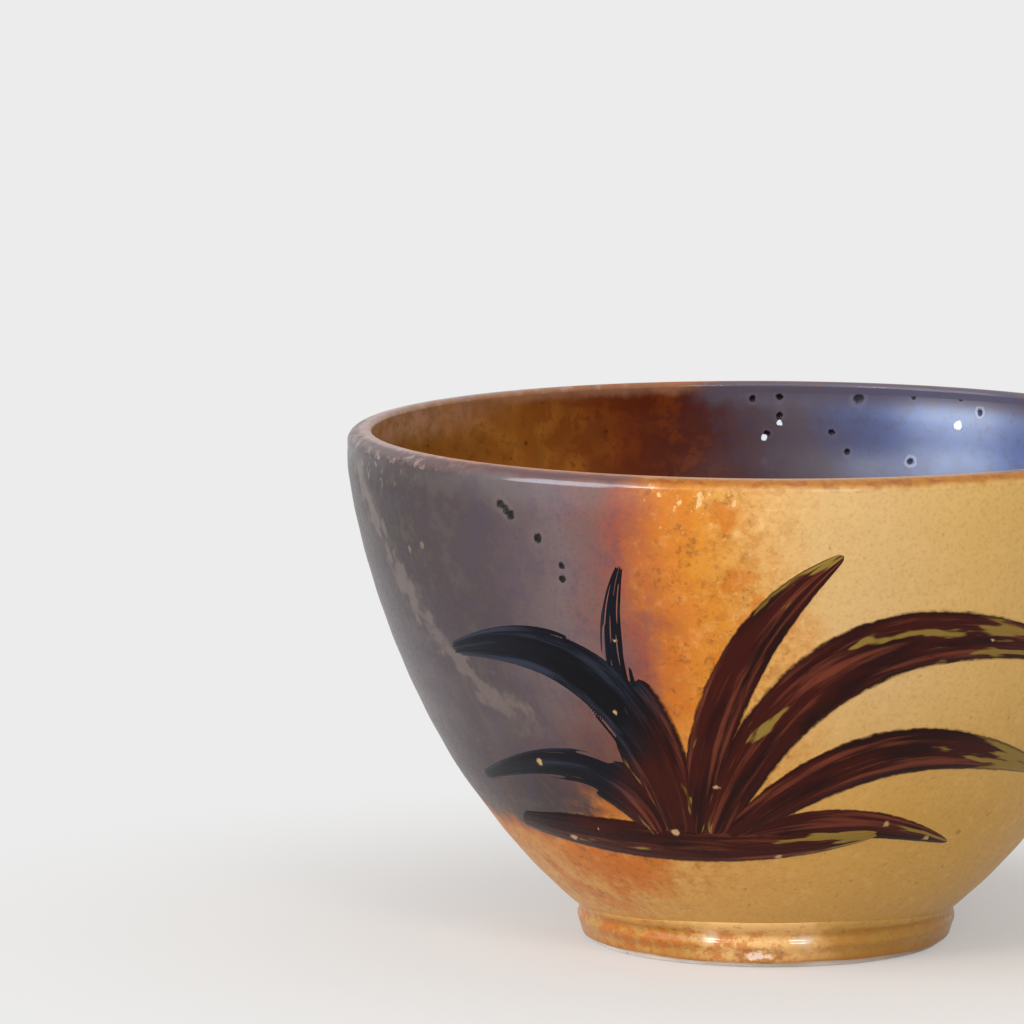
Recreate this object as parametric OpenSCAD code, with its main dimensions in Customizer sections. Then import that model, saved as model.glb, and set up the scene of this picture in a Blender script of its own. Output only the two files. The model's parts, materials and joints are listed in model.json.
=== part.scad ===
// Matcha bowl: a thrown stoneware bowl on a luted foot ring, under several coats of glaze.
// It stands on z = 0 with its centre line on the Z axis, and the side with the brushed grass faces -Y.
// Sizes are in millimetres. Each coat is a thin shell that lies face to face on what it covers.

/* [Bowl] */
// Widest diameter, over the glaze
rim_d = 123; // [116:0.5:132]
// Height of the lip above the table
bowl_h = 75.2; // [70:0.2:84]
// Rise of the outside wall where it leaves the foot, in degrees above level
wall_rise = 38.8; // [35:0.2:44]
// Length over which the outside wall keeps that low rise
wall_low_pull = 33.4; // [28:0.2:37]
// Length over which the outside wall stands upright below the lip
wall_high_pull = 9.4; // [6:0.2:14]

/* [Lip] */
// Width of the lip, from the outside of the rim to the inside wall
lip_w = 3.7; // [3.3:0.1:4.6]
// Height of the lip's rounded outer shoulder
lip_shoulder_h = 1.8; // [1.2:0.1:2.6]
// How far in from the rim the lip's shoulder turns to its gently sloping crest
lip_crest_in = 1; // [0.6:0.1:1.4]
// Radius of the lip's inner edge
lip_edge_r = 0.8; // [0.6:0.1:1.2]

/* [Inside] */
// Height of the inside floor above the table, at the edge of the tea pool
floor_h = 11; // [10:0.2:14]
// Rise of the inside floor where it leaves the tea pool, in degrees above level
floor_rise = 16; // [12:1:20]
// Length over which the inside floor keeps that low rise
floor_pull = 20; // [16:0.5:22]
// Length over which the inside wall drops straight down from the lip
inside_pull = 27; // [22:0.5:29]
// Diameter of the tea pool, the shallow dish in the middle of the floor
pool_d = 33; // [26:0.5:38]
// Depth of the tea pool
pool_depth = 1.2; // [0.6:0.1:1.6]

/* [Foot] */
// Diameter of the foot where it meets the wall, over the glaze
foot_d = 54.4; // [50:0.2:58]
// Height of the foot, from the table to the crease below the wall
foot_h = 4.9; // [4:0.1:5.6]
// How far the foot's side draws in between the crease and the table
foot_draw = 1; // [0.8:0.1:1.6]
// Diameter of the foot's well where the ring stands
well_d = 41; // [36:0.5:44]
// How far the well closes in towards the top of the ring
well_lean = 1; // [0.4:0.1:1.6]
// Height of the well's roof above the table
well_h = 5.9; // [5.7:0.1:6.4]
// Diameter of the turned nub in the middle of the well
nub_d = 8; // [5:0.5:12]
// Height of the nub
nub_h = 0.7; // [0.3:0.1:0.9]
// Diameter of the nub's blunt end
nub_end_d = 2; // [1:0.5:4]
// Chamfer on both standing edges of the ring
foot_chamfer = 0.3; // [0.1:0.1:0.5]

/* [Glaze] */
// Thickness of the glaze on the wall and the lip
glaze_t = 0.5; // [0.3:0.05:0.6]
// Thickness of the glaze on the roof of the well
well_glaze_t = 0.4; // [0.2:0.05:0.6]
// Height of the bare clay between the glaze and the table
bare_h = 0.6; // [0.6:0.1:2]
// Reach of the glaze that pools in the crease, along the foot and along the wall
crease_pool = 1; // [0.6:0.1:1.6]
// Thickness of the second coat, which the foot was dipped in
coat_t = 0.4; // [0.2:0.05:0.6]
// Height at which the second coat ends, on the centre line
coat_h = 4.7; // [4.2:0.1:5.4]
// Tilt of the second coat's edge, from dipping the foot askew, in degrees
coat_tilt = 4.7; // [0:0.1:6]

/* [Poured slate glaze] */
// Thickness of the poured glaze
pour_t = 0.22; // [0.15:0.01:0.3]
// Length of the runs along the lower edge of the pour
run_h = 2.4; // [0.5:0.1:4]
// Number of runs along each edge of the pour
run_count = 5; // [3:1:8]

/* [Brushed grass] */
// Thickness of the brushed blades
blade_t = 0.35; // [0.31:0.01:0.45]
// Scale of the blades' widths
blade_fullness = 1; // [0.7:0.05:1.2]
// Height of the tuft's root above the table
root_h = 21.5; // [17:0.5:24]

/* [Hidden] */

// Faces round the centre line, and steps along each curve of the profile
round_faces = 96;
wall_steps = 24;
lip_steps = 6;
inside_steps = 20;
pool_steps = 8;
crease_steps = 5;
foot_steps = 4;
edge_steps = 40;
blade_steps = 14;

rim_r = rim_d / 2;
foot_r = foot_d / 2;
pool_r = pool_d / 2;
well_r = well_d / 2;
well_top_r = well_r - well_lean;
inside_r = rim_r - lip_w;
shoulder_z = bowl_h - lip_shoulder_h;
edge_z = bowl_h - lip_edge_r;
// Radius of the arc that the foot's side follows, from how far it draws in over its height
foot_arc_r = (foot_h * foot_h + foot_draw * foot_draw) / (2 * foot_draw);
// Anything cut by a straight prism is cut past the rim and past the lip
far = rim_d;

// The profile runs up the outside wall, in over the lip, down the inside wall and in to the centre.
// Each stretch is a cubic curve, given by its ends and the two points that pull it.
wall_curve = let (foot = [foot_r, foot_h], shoulder = [rim_r, shoulder_z])
    [foot, foot + wall_low_pull * [cos(wall_rise), sin(wall_rise)],
     shoulder - [0, wall_high_pull], shoulder];
lip_curve = [[rim_r, shoulder_z], [rim_r, shoulder_z + lip_shoulder_h / 2],
    [rim_r - lip_crest_in, bowl_h], [inside_r + lip_edge_r, bowl_h]];
inside_curve = let (top = [inside_r, edge_z], bottom = [pool_r, floor_h])
    [top, top - [0, inside_pull],
     bottom + floor_pull * [cos(floor_rise), sin(floor_rise)], bottom];
// The glaze that pools in the crease starts on the foot's side and ends on the wall
crease_from = crease_pool / (3 * wall_low_pull);
crease_curve = let (low = [foot_side(foot_h - crease_pool, 0), foot_h - crease_pool],
    high = bezier(wall_curve, crease_from))
    [low, (low + 2 * wall_curve[0]) / 3, (high + 2 * wall_curve[0]) / 3, high];
// Steps of the wall that the second coat and the pours reach over before they are cut
coat_last = 6;
pour_first = 2;
pour_inside_last = 15;

// Edges of the pours, seen from the front: each runs down from above the lip and then out to the side.
// The two edges of one pour meet where they cross the side of the bowl.
slate_front_edge = [[-21.5, 80], [-15, 52], [-8, 14], [-50, 22]];
slate_back_edge = [[14, 80], [4, 50], [-14, 22], [-50, 22]];
inside_front_edge = [[30, 80], [30, 52], [34, 36], [60, 38]];
inside_back_edge = [[-6, 80], [-8, 58], [6, 34], [60, 38]];

// Strokes of the tuft: [how far the root stands from the tuft's middle, the two points that bend the
// stroke, its tip, its width], with heights counted from the root and x counted from the centre line.
// Seven are blades, and the last is the ground that they grow from.
tuft_x = -12;
blades = [
    [3, [-2, 24], [16, 40], [46, 24], 11],
    [5, [7, 13], [21, 19], [40, 7], 8.5],
    [1, [-11, 18], [-5, 34], [9, 43], 8],
    [-1, [-18, 21], [-31, 34], [-47, 25], 13],
    [-4, [-21, 11], [-32, 14], [-42, 5], 9],
    [6, [4, 3], [14, 4], [25, -2], 5.5],
    [-2, [-21, 18], [-26, 31], [-22, 42], 7],
    [-24, [-26, 0], [-6, -3], [16, 1], 7]];
// Share of its full width that a blade has at the root and at the very tip, how fast it swells from
// the root, and how fast it runs out
root_share = 0.35;
tip_share = 0.04;
swell = 2.2;
run_out = 0.8;

// Point and direction of a cubic curve c at t, from 0 to 1
function bezier(c, t) = pow(1 - t, 3) * c[0] + 3 * pow(1 - t, 2) * t * c[1]
    + 3 * (1 - t) * t * t * c[2] + pow(t, 3) * c[3];
function heading(c, t) = pow(1 - t, 2) * (c[1] - c[0]) + 2 * (1 - t) * t * (c[2] - c[1])
    + t * t * (c[3] - c[2]);
function right_of(v) = [v[1], -v[0]] / norm(v);
// Curve c from t0 to its end, moved d out of the bowl's surface into the air
function beside(c, d, steps, t0 = 0) = [for (i = [0:steps])
    let (t = t0 + (1 - t0) * i / steps) bezier(c, t) + d * right_of(heading(c, t))];
function reversed(list) = [for (i = [len(list) - 1:-1:0]) list[i]];
function part_of(list, first, last) = [for (i = [first:last]) list[i]];

// Radius of the foot's side at height z, moved d outwards
function foot_side(z, d) = foot_r - foot_arc_r + sqrt(pow(foot_arc_r + d, 2) - pow(foot_h - z, 2));
function foot_points(d, low, high) = [for (i = [0:foot_steps])
    let (z = low + (high - low) * i / foot_steps) [foot_side(z, d), z]];

// Glazed outside from the bare clay over the crease, and on up to the lip, moved d into the air
function glazed_foot(d) = concat(foot_points(d, bare_h, foot_h - crease_pool),
    part_of(beside(crease_curve, d, crease_steps), 1, crease_steps));
function glazed_wall(d) = beside(wall_curve, d, wall_steps, crease_from);
// Lip and inner edge, moved d into the air
function lip_points(d) = concat(beside(lip_curve, d, lip_steps),
    [for (i = [1:lip_steps]) let (a = 90 + 90 * i / lip_steps)
        [inside_r + lip_edge_r, edge_z] + (lip_edge_r + d) * [cos(a), sin(a)]]);
function inside_points(d) = beside(inside_curve, d, inside_steps);
// Tea pool: half a wave from its edge to the centre, moved up by d
function pool_points(d) = [for (i = [1:pool_steps])
    let (share = i / pool_steps)
        [pool_r * (1 - share), floor_h - pool_depth * (1 - cos(180 * share)) / 2 + d]];
// Roof of the well with its turned nub, from the centre outwards, moved down by d
function well_points(d) = [[0, well_h - nub_h - d], [nub_end_d / 2, well_h - nub_h - d],
    [nub_d / 2, well_h - d], [well_top_r, well_h - d]];

// Edge of a pour, with runs that are longest half way along it
function run_edge(c) = [for (i = [0:edge_steps]) let (t = i / edge_steps)
    bezier(c, t) - [0, run_h * t * (1 - t) * 2 * (1 + sin(360 * run_count * t))]];
// Outline of a pour, closed past the side of the bowl that its edge runs out to
function pour_outline(c) = concat(run_edge(c),
    [[sign(c[3][0]) * far, c[3][1]], [sign(c[3][0]) * far, c[0][1]]]);

// Half the width of a blade at t, as a share of its full width: it swells, then runs out to a tip
function leaf(t) = tip_share + pow(1 - t, run_out) * (root_share + swell * t) / 2;
function blade_curve(b) = [[tuft_x + b[0], root_h], b[1] + [0, root_h], b[2] + [0, root_h],
    b[3] + [0, root_h]];
function blade_side(b, side) = let (c = blade_curve(b), width = side * b[4] * blade_fullness)
    [for (i = [0:blade_steps]) let (t = i / blade_steps)
        bezier(c, t) + width * leaf(t) * right_of(heading(c, t))];
function blade_outline(b) = concat(blade_side(b, 1), reversed(blade_side(b, -1)));

// Solid of revolution between an outer and an inner row of points that run the same way
module shell(outer, inner) {
    rotate_extrude($fn = round_faces) polygon(concat(outer, reversed(inner)));
}

// Straight prisms that cut the thin shells: one towards the front, one towards the back
module front_prism(outline) {
    rotate([90, 0, 0]) linear_extrude(height = far) polygon(outline);
}

module back_prism(outline) {
    translate([0, far, 0]) rotate([90, 0, 0]) linear_extrude(height = far) polygon(outline);
}

module pour_prisms(front_edge, back_edge) {
    front_prism(pour_outline(front_edge));
    back_prism(pour_outline(back_edge));
}

module blade_prisms() {
    for (b = blades) front_prism(blade_outline(b));
}

// Clay wall and floor, thrown in one piece
module bowl_body() {
    color("#c9b8a0") rotate_extrude($fn = round_faces) polygon(concat(
        well_points(0), [[well_top_r, foot_h], [foot_side(foot_h, -glaze_t), foot_h]],
        beside(wall_curve, -glaze_t, wall_steps), lip_points(-glaze_t),
        part_of(inside_points(-glaze_t), 1, inside_steps), pool_points(-glaze_t)));
}

// Clay ring that the bowl stands on, its side drawn in towards the table and its edges broken
module foot_ring() {
    color("#d8c6ad") rotate_extrude($fn = round_faces) polygon(concat(
        [[well_top_r, foot_h], [well_r, foot_chamfer], [well_r + foot_chamfer, 0],
         [foot_side(foot_chamfer, -glaze_t) - foot_chamfer, 0]],
        foot_points(-glaze_t, foot_chamfer, bare_h),
        part_of(foot_points(-glaze_t, bare_h, foot_h), 1, foot_steps)));
}

// Amber glaze over the outside of the wall and the foot
module outside_glaze() {
    color("#cf9a4c") shell(
        concat(glazed_foot(0), part_of(glazed_wall(0), 1, wall_steps)),
        concat(foot_points(-glaze_t, bare_h, foot_h), beside(wall_curve, -glaze_t, wall_steps)));
}

// Iron-brown glaze over the lip, which breaks pale along its crest
module lip_glaze() {
    color("#a4683a") shell(lip_points(0), lip_points(-glaze_t));
}

// Brown glaze over the inside wall, the floor and the tea pool
module inside_glaze() {
    color("#6d3d1c") shell(concat(inside_points(0), pool_points(0)),
        concat(inside_points(-glaze_t), pool_points(-glaze_t)));
}

// Second coat round the foot and the crease, its upper edge in a tilted plane
module foot_coat() {
    color("#c07a34") intersection() {
        shell(concat(glazed_foot(coat_t), part_of(glazed_wall(coat_t), 1, coat_last)),
            concat(glazed_foot(0), part_of(glazed_wall(0), 1, coat_last)));
        translate([0, 0, coat_h]) rotate([-coat_tilt, 0, 0])
            translate([-rim_r, -rim_r, -foot_d]) cube([rim_d, rim_d, foot_d]);
    }
}

// Glaze on the roof of the foot's well, over the nub
module well_glaze() {
    color("#b98a4a") shell(well_points(well_glaze_t), well_points(0));
}

// Slate glaze poured over one side of the outside, opened where the grass is brushed
module slate_pour_outside() {
    color("#6e6068") difference() {
        intersection() {
            shell(part_of(glazed_wall(pour_t), pour_first, wall_steps),
                part_of(glazed_wall(0), pour_first, wall_steps));
            pour_prisms(slate_front_edge, slate_back_edge);
        }
        blade_prisms();
    }
}

// Slate glaze poured over the other side of the inside
module slate_pour_inside() {
    color("#76727c") intersection() {
        shell(part_of(inside_points(pour_t), 0, pour_inside_last),
            part_of(inside_points(0), 0, pour_inside_last));
        pour_prisms(inside_front_edge, inside_back_edge);
    }
}

// Tuft of arching grass, brushed in iron glaze
module brushed_grass() {
    color("#3b1a1c") intersection() {
        shell(part_of(glazed_wall(blade_t), pour_first, wall_steps),
            part_of(glazed_wall(0), pour_first, wall_steps));
        blade_prisms();
    }
}

bowl_body();
foot_ring();
outside_glaze();
lip_glaze();
inside_glaze();
foot_coat();
well_glaze();
slate_pour_outside();
slate_pour_inside();
brushed_grass();
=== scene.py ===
"""Matcha bowl: the dressed model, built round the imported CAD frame.

The bowl was thrown, so every coat of glaze is a skin over one shared surface of revolution. A place on
it is given by an angle round the centre line and a distance along the glaze path, which runs up the
outside wall, over the lip, down the inside wall and in to the middle of the floor. Each skin lies at its
own lift above that surface, and all of them share the potter's small unevenness.

Sizes are in millimetres, as in the part's source, and a mesh turns into metres as it is made. Angles are
in radians in the arrays and in degrees in the named sizes.
"""

from __future__ import annotations

import json
import logging
import math
from abc import ABC, abstractmethod
from dataclasses import dataclass, field, replace
from enum import Enum
from typing import ClassVar

import bpy
import numpy as np
from mathutils import Matrix, Vector

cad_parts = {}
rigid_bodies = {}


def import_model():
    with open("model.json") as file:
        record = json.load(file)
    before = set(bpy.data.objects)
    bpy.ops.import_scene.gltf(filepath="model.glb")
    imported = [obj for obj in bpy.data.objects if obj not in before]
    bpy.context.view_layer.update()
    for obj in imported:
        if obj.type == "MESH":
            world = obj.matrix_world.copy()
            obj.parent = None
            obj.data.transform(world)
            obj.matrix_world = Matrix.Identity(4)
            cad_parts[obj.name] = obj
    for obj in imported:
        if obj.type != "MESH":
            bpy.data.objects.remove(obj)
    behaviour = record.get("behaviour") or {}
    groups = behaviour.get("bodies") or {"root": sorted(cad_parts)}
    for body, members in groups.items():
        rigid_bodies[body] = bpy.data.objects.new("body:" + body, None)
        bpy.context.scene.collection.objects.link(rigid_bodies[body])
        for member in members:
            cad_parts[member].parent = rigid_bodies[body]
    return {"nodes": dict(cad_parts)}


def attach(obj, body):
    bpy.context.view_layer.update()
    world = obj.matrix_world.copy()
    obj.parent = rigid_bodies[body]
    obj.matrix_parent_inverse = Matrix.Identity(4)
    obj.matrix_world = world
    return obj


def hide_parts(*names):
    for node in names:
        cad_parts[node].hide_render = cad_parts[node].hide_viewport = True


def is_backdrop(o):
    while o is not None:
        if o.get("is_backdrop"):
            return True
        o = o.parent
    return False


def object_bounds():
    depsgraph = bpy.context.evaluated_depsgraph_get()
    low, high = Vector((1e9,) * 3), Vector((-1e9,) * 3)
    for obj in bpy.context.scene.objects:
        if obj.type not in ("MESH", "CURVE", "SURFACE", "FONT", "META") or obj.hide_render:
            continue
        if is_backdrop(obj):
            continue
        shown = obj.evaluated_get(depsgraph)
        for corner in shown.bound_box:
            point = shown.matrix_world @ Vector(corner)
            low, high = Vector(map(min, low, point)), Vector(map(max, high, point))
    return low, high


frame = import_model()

MM = 0.001
TURN = 2 * math.pi
BODY = "root"
log = logging.getLogger("matcha_bowl")

Array = np.ndarray
Socket = bpy.types.NodeSocket
Inputs = dict[str | int, object]
Tone = tuple[float, float, float, float]


class Slot(Enum):
    """Material slots of the record."""

    STONEWARE = "stoneware"
    AMBER = "amber_glaze"
    IRON = "iron_glaze"
    BROWN = "brown_glaze"
    SLATE = "slate_glaze"
    BRUSHED = "brushed_iron"


def smooth_step(value: Array, start: float, end: float) -> Array:
    """Rise from 0 to 1 between two values, level at both ends.

    Args:
        value: Values to grade.
        start: Value at which the result is 0.
        end: Value at which the result is 1.

    Returns:
        3t^2 - 2t^3, where t is the share of the way from start to end, held between 0 and 1.
    """
    share = np.clip((value - start) / (end - start), 0.0, 1.0)
    return share * share * (3.0 - 2.0 * share)


def run_along(points: Array) -> Array:
    """Length along a line at each of its points."""
    return np.concatenate([[0.0], np.cumsum(np.linalg.norm(np.diff(points, axis=0), axis=1))])


def turned(r: Array, z: Array, theta: Array) -> Array:
    """Points at radii and heights, turned by angles round the centre line."""
    return np.stack(np.broadcast_arrays(r * np.cos(theta), r * np.sin(theta), z), -1)


def there_and_back(row: Array, every: int = 1) -> Array:
    """Columns of an array, then the same ones from the last to the first, or every few of them."""
    return np.concatenate([row, row[:, ::-every]], 1)


def pull(start: tuple[float, float], length: float, degrees: float) -> tuple[float, float]:
    """Point at a length from a start, in a direction that rises by some degrees."""
    return (start[0] + length * math.cos(math.radians(degrees)),
            start[1] + length * math.sin(math.radians(degrees)))


# Sizes and the glaze path


@dataclass(frozen=True)
class Cubic:
    """Cubic curve from its first point to its last, bent by the two points between."""

    pulls: tuple[tuple[float, float], ...]

    def points(self, t: Array) -> Array:
        """Points of the curve.

        Args:
            t: Shares of the way along the curve, from 0 to 1.

        Returns:
            Rows of two coordinates: the four points weighted by the cubic Bernstein polynomials of t.
        """
        (a, b, c, d), t = np.array(self.pulls, float), np.asarray(t, float)[:, None]
        u = 1.0 - t
        return u**3 * a + 3 * u * u * t * b + 3 * u * t * t * c + t**3 * d

    def right_of(self, t: Array) -> Array:
        """Unit vectors square to the curve, on its right.

        Args:
            t: Shares of the way along the curve, from 0 to 1.

        Returns:
            Rows of two coordinates: the curve's direction turned a quarter turn clockwise.
        """
        (a, b, c, d), t = np.array(self.pulls, float), np.asarray(t, float)[:, None]
        u = 1.0 - t
        heading = u * u * (b - a) + 2 * u * t * (c - b) + t * t * (d - c)
        square = np.stack([heading[:, 1], -heading[:, 0]], 1)
        return square / np.linalg.norm(square, axis=1, keepdims=True)


@dataclass(frozen=True)
class BowlSizes:
    """Sizes of the thrown bowl over its glaze, the same as in the part's source."""

    rim_r: float = 61.5
    bowl_h: float = 75.2
    wall_rise: float = 38.8
    wall_low_pull: float = 33.4
    wall_high_pull: float = 9.4
    lip_w: float = 3.7
    lip_shoulder_h: float = 1.8
    lip_crest_in: float = 1.0
    lip_edge_r: float = 0.8
    floor_h: float = 11.0
    floor_rise: float = 16.0
    floor_pull: float = 20.0
    inside_pull: float = 27.0
    pool_r: float = 16.5
    pool_depth: float = 1.2
    foot_r: float = 27.2
    foot_h: float = 4.9
    foot_draw: float = 1.0
    well_r: float = 20.5
    well_top_r: float = 19.5
    well_h: float = 5.9
    nub_r: float = 4.0
    nub_h: float = 0.7
    nub_end_r: float = 1.0
    foot_chamfer: float = 0.3
    bare_h: float = 0.6
    crease_pool: float = 1.0
    glaze_t: float = 0.5
    well_glaze_t: float = 0.4
    coat_t: float = 0.4
    coat_h: float = 4.7
    coat_tilt: float = 4.7
    pour_t: float = 0.22
    root_h: float = 21.5

    @property
    def wall(self) -> Cubic:
        """Outside wall, from the crease above the foot to the lip's shoulder."""
        foot, top = (self.foot_r, self.foot_h), (self.rim_r, self.bowl_h - self.lip_shoulder_h)
        low = pull(foot, self.wall_low_pull, self.wall_rise)
        return Cubic((foot, low, (top[0], top[1] - self.wall_high_pull), top))

    @property
    def lip(self) -> Cubic:
        """Lip, from its outer shoulder over the crest to the start of its inner edge."""
        low = self.bowl_h - self.lip_shoulder_h
        inner = self.rim_r - self.lip_w + self.lip_edge_r
        return Cubic(((self.rim_r, low), (self.rim_r, low + self.lip_shoulder_h / 2),
                      (self.rim_r - self.lip_crest_in, self.bowl_h), (inner, self.bowl_h)))

    @property
    def inside(self) -> Cubic:
        """Inside wall, from the lip's inner edge to the edge of the tea pool."""
        r, top = self.rim_r - self.lip_w, self.bowl_h - self.lip_edge_r
        pool = (self.pool_r, self.floor_h)
        low = pull(pool, self.floor_pull, self.floor_rise)
        return Cubic(((r, top), (r, top - self.inside_pull), low, pool))

    def foot_side(self, z: Array, lift: float = 0.0) -> Array:
        """Radius of the foot's side, which follows an arc.

        Args:
            z: Heights above the table.
            lift: Distance out from the glazed side.

        Returns:
            The arc's centre radius plus the root of the squared arc radius less the squared height
            below the crease.
        """
        arc = (self.foot_h**2 + self.foot_draw**2) / (2 * self.foot_draw)
        return self.foot_r - arc + np.sqrt((arc + lift) ** 2 - (self.foot_h - z) ** 2)


class GlazePath:
    """Line of the glazed surface in the plane of radius and height, with lengths along it.

    Attributes:
        DENSE: Points on each stretch of the line.
        FINE: Points at which a bend is measured.
        SOFTEN: Distance over which the corner of the tea pool is rounded.
    """

    DENSE: ClassVar[int] = 400
    FINE: ClassVar[int] = 4000
    SOFTEN: ClassVar[float] = 1.6

    def __init__(self, sizes: BowlSizes) -> None:
        """Join the stretches of the line and measure them.

        Args:
            sizes: Sizes of the bowl.
        """
        t = np.linspace(0.0, 1.0, self.DENSE)
        reach = sizes.crease_pool / (3 * sizes.wall_low_pull)
        z = sizes.bare_h + (sizes.foot_h - sizes.crease_pool - sizes.bare_h) * t
        foot = np.stack([sizes.foot_side(z), z], 1)
        corner = np.array([sizes.foot_r, sizes.foot_h])
        high = sizes.wall.points(np.array([reach]))[0]
        pulls = (foot[-1], (foot[-1] + 2 * corner) / 3, (high + 2 * corner) / 3, high)
        quarter = np.pi / 2 * (1 + t)
        edge = np.array([sizes.rim_r - sizes.lip_w + sizes.lip_edge_r, sizes.bowl_h - sizes.lip_edge_r])
        arc = edge + sizes.lip_edge_r * np.stack([np.cos(quarter), np.sin(quarter)], 1)
        wave = sizes.floor_h - sizes.pool_depth * (1 - np.cos(np.pi * t)) / 2
        wall = sizes.wall.points(reach + (1 - reach) * t)
        pool = np.stack([sizes.pool_r * (1 - t), wave], 1)
        crease = Cubic(pulls).points(t)
        stretches = [foot, crease, wall, sizes.lip.points(t), arc, sizes.inside.points(t), pool]
        line = np.concatenate([foot] + [stretch[1:] for stretch in stretches[1:]])
        ends = np.cumsum([len(stretch) - 1 for stretch in stretches])
        length = run_along(line)
        line = self._softened(line, length, length[ends[5]])
        heading = np.gradient(line, length, axis=0)
        heading /= np.linalg.norm(heading, axis=1, keepdims=True)
        self.length, self.line = length, line
        self.normal = np.stack([heading[:, 1], -heading[:, 0]], 1)
        self.crease, self.shoulder, self.inner_edge = (length[ends[k]] for k in (0, 2, 4))
        self.middle = length[-1]
        self._outer_end, self._inner_start = ends[2] + 1, ends[4]

    def _softened(self, line: Array, length: Array, corner: float) -> Array:
        """Round the corner at the edge of the tea pool.

        Args:
            line: Points of the line.
            length: Length along the line at each point.
            corner: Length at which the corner lies.

        Returns:
            The line, in which each point near the corner is the mean of its neighbours on both sides.
        """
        either_side = [
            np.stack([np.interp(length + side * self.SOFTEN, length, line[:, k]) for k in (0, 1)], 1)
            for side in (-1.0, -0.5, 0.5, 1.0)]
        near = 1.0 - smooth_step(np.abs(length - corner), self.SOFTEN, 3 * self.SOFTEN)
        return line + near[:, None] * (np.mean(either_side, axis=0) - line)

    def at(self, s: Array) -> tuple[Array, Array, Array, Array]:
        """Radius, height and outward normal at lengths along the path.

        Args:
            s: Lengths along the path.

        Returns:
            Radius, height, and the normal's radial and upward parts.
        """
        columns = (self.line[:, 0], self.line[:, 1], self.normal[:, 0], self.normal[:, 1])
        return tuple(np.interp(s, self.length, column) for column in columns)

    def stations(self, start: float, end: float, step: float, turn: float = 7.0) -> Array:
        """Lengths along the path, closer together where it bends.

        Args:
            start: First length.
            end: Last length.
            step: Widest step in millimetres.
            turn: Widest turn between two stations in degrees.

        Returns:
            Lengths at even shares of a running cost: length over step plus turning over turn.
        """
        s = np.linspace(start, end, self.FINE)
        _, _, across, up = self.at(s)
        bend = np.abs(np.gradient(np.unwrap(np.arctan2(up, across)), s))
        cost = np.cumsum(1.0 / step + bend / math.radians(turn))
        count = int((cost[-1] - cost[0]) * (s[1] - s[0])) + 2
        return np.interp(np.linspace(cost[0], cost[-1], count), cost, s)

    def outside_at(self, z: Array) -> Array:
        """Length along the path at heights on the outside."""
        return np.interp(z, self.line[: self._outer_end, 1], self.length[: self._outer_end])

    def inside_at(self, z: Array) -> Array:
        """Length along the path at heights on the inside wall."""
        return np.interp(-z, -self.line[self._inner_start:, 1], self.length[self._inner_start:])


@dataclass(frozen=True)
class ThrownSurface:
    """Glazed surface of the bowl with the unevenness that the wheel and the hand left in it."""

    sizes: BowlSizes
    path: GlazePath
    ring_depth: float = 0.045
    ring_step: float = 6.5
    sway_depth: float = 0.05

    def dent(self, theta: Array, s: Array) -> Array:
        """Depth of the throwing rings and of the wall's slow sway.

        Args:
            theta: Angles round the centre line.
            s: Lengths along the path.

        Returns:
            Depths below the true surface, zero or more: a spiral sine whose turns are ring_step apart,
            plus three slow waves round the bowl that lean as they rise.
        """
        rings = 1 + np.sin(TURN * s / self.ring_step + theta + 0.8 * np.sin(2 * theta))
        sway = 1 + np.sin(3 * theta + s / 19.0) * np.cos(theta - s / 31.0)
        return 0.5 * self.ring_depth * rings + 0.5 * self.sway_depth * sway

    def place(self, theta: Array, s: Array, lift: Array | float = 0.0, dented: bool = True) -> Array:
        """Points on or near the surface.

        Args:
            theta: Angles round the centre line.
            s: Lengths along the path.
            lift: Distance out along the surface's normal.
            dented: Whether the unevenness is taken off.

        Returns:
            Points with three coordinates: the path's point, moved along its normal by the lift less
            the dent, and turned by the angle.
        """
        theta, s, lift = np.broadcast_arrays(theta, s, lift)
        r, z, across, up = self.path.at(s)
        if dented:
            lift = lift - self.dent(theta, s)
        r = np.maximum(r + lift * across, 0.0)
        return turned(r, z + lift * up, theta)


# Meshes


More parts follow.
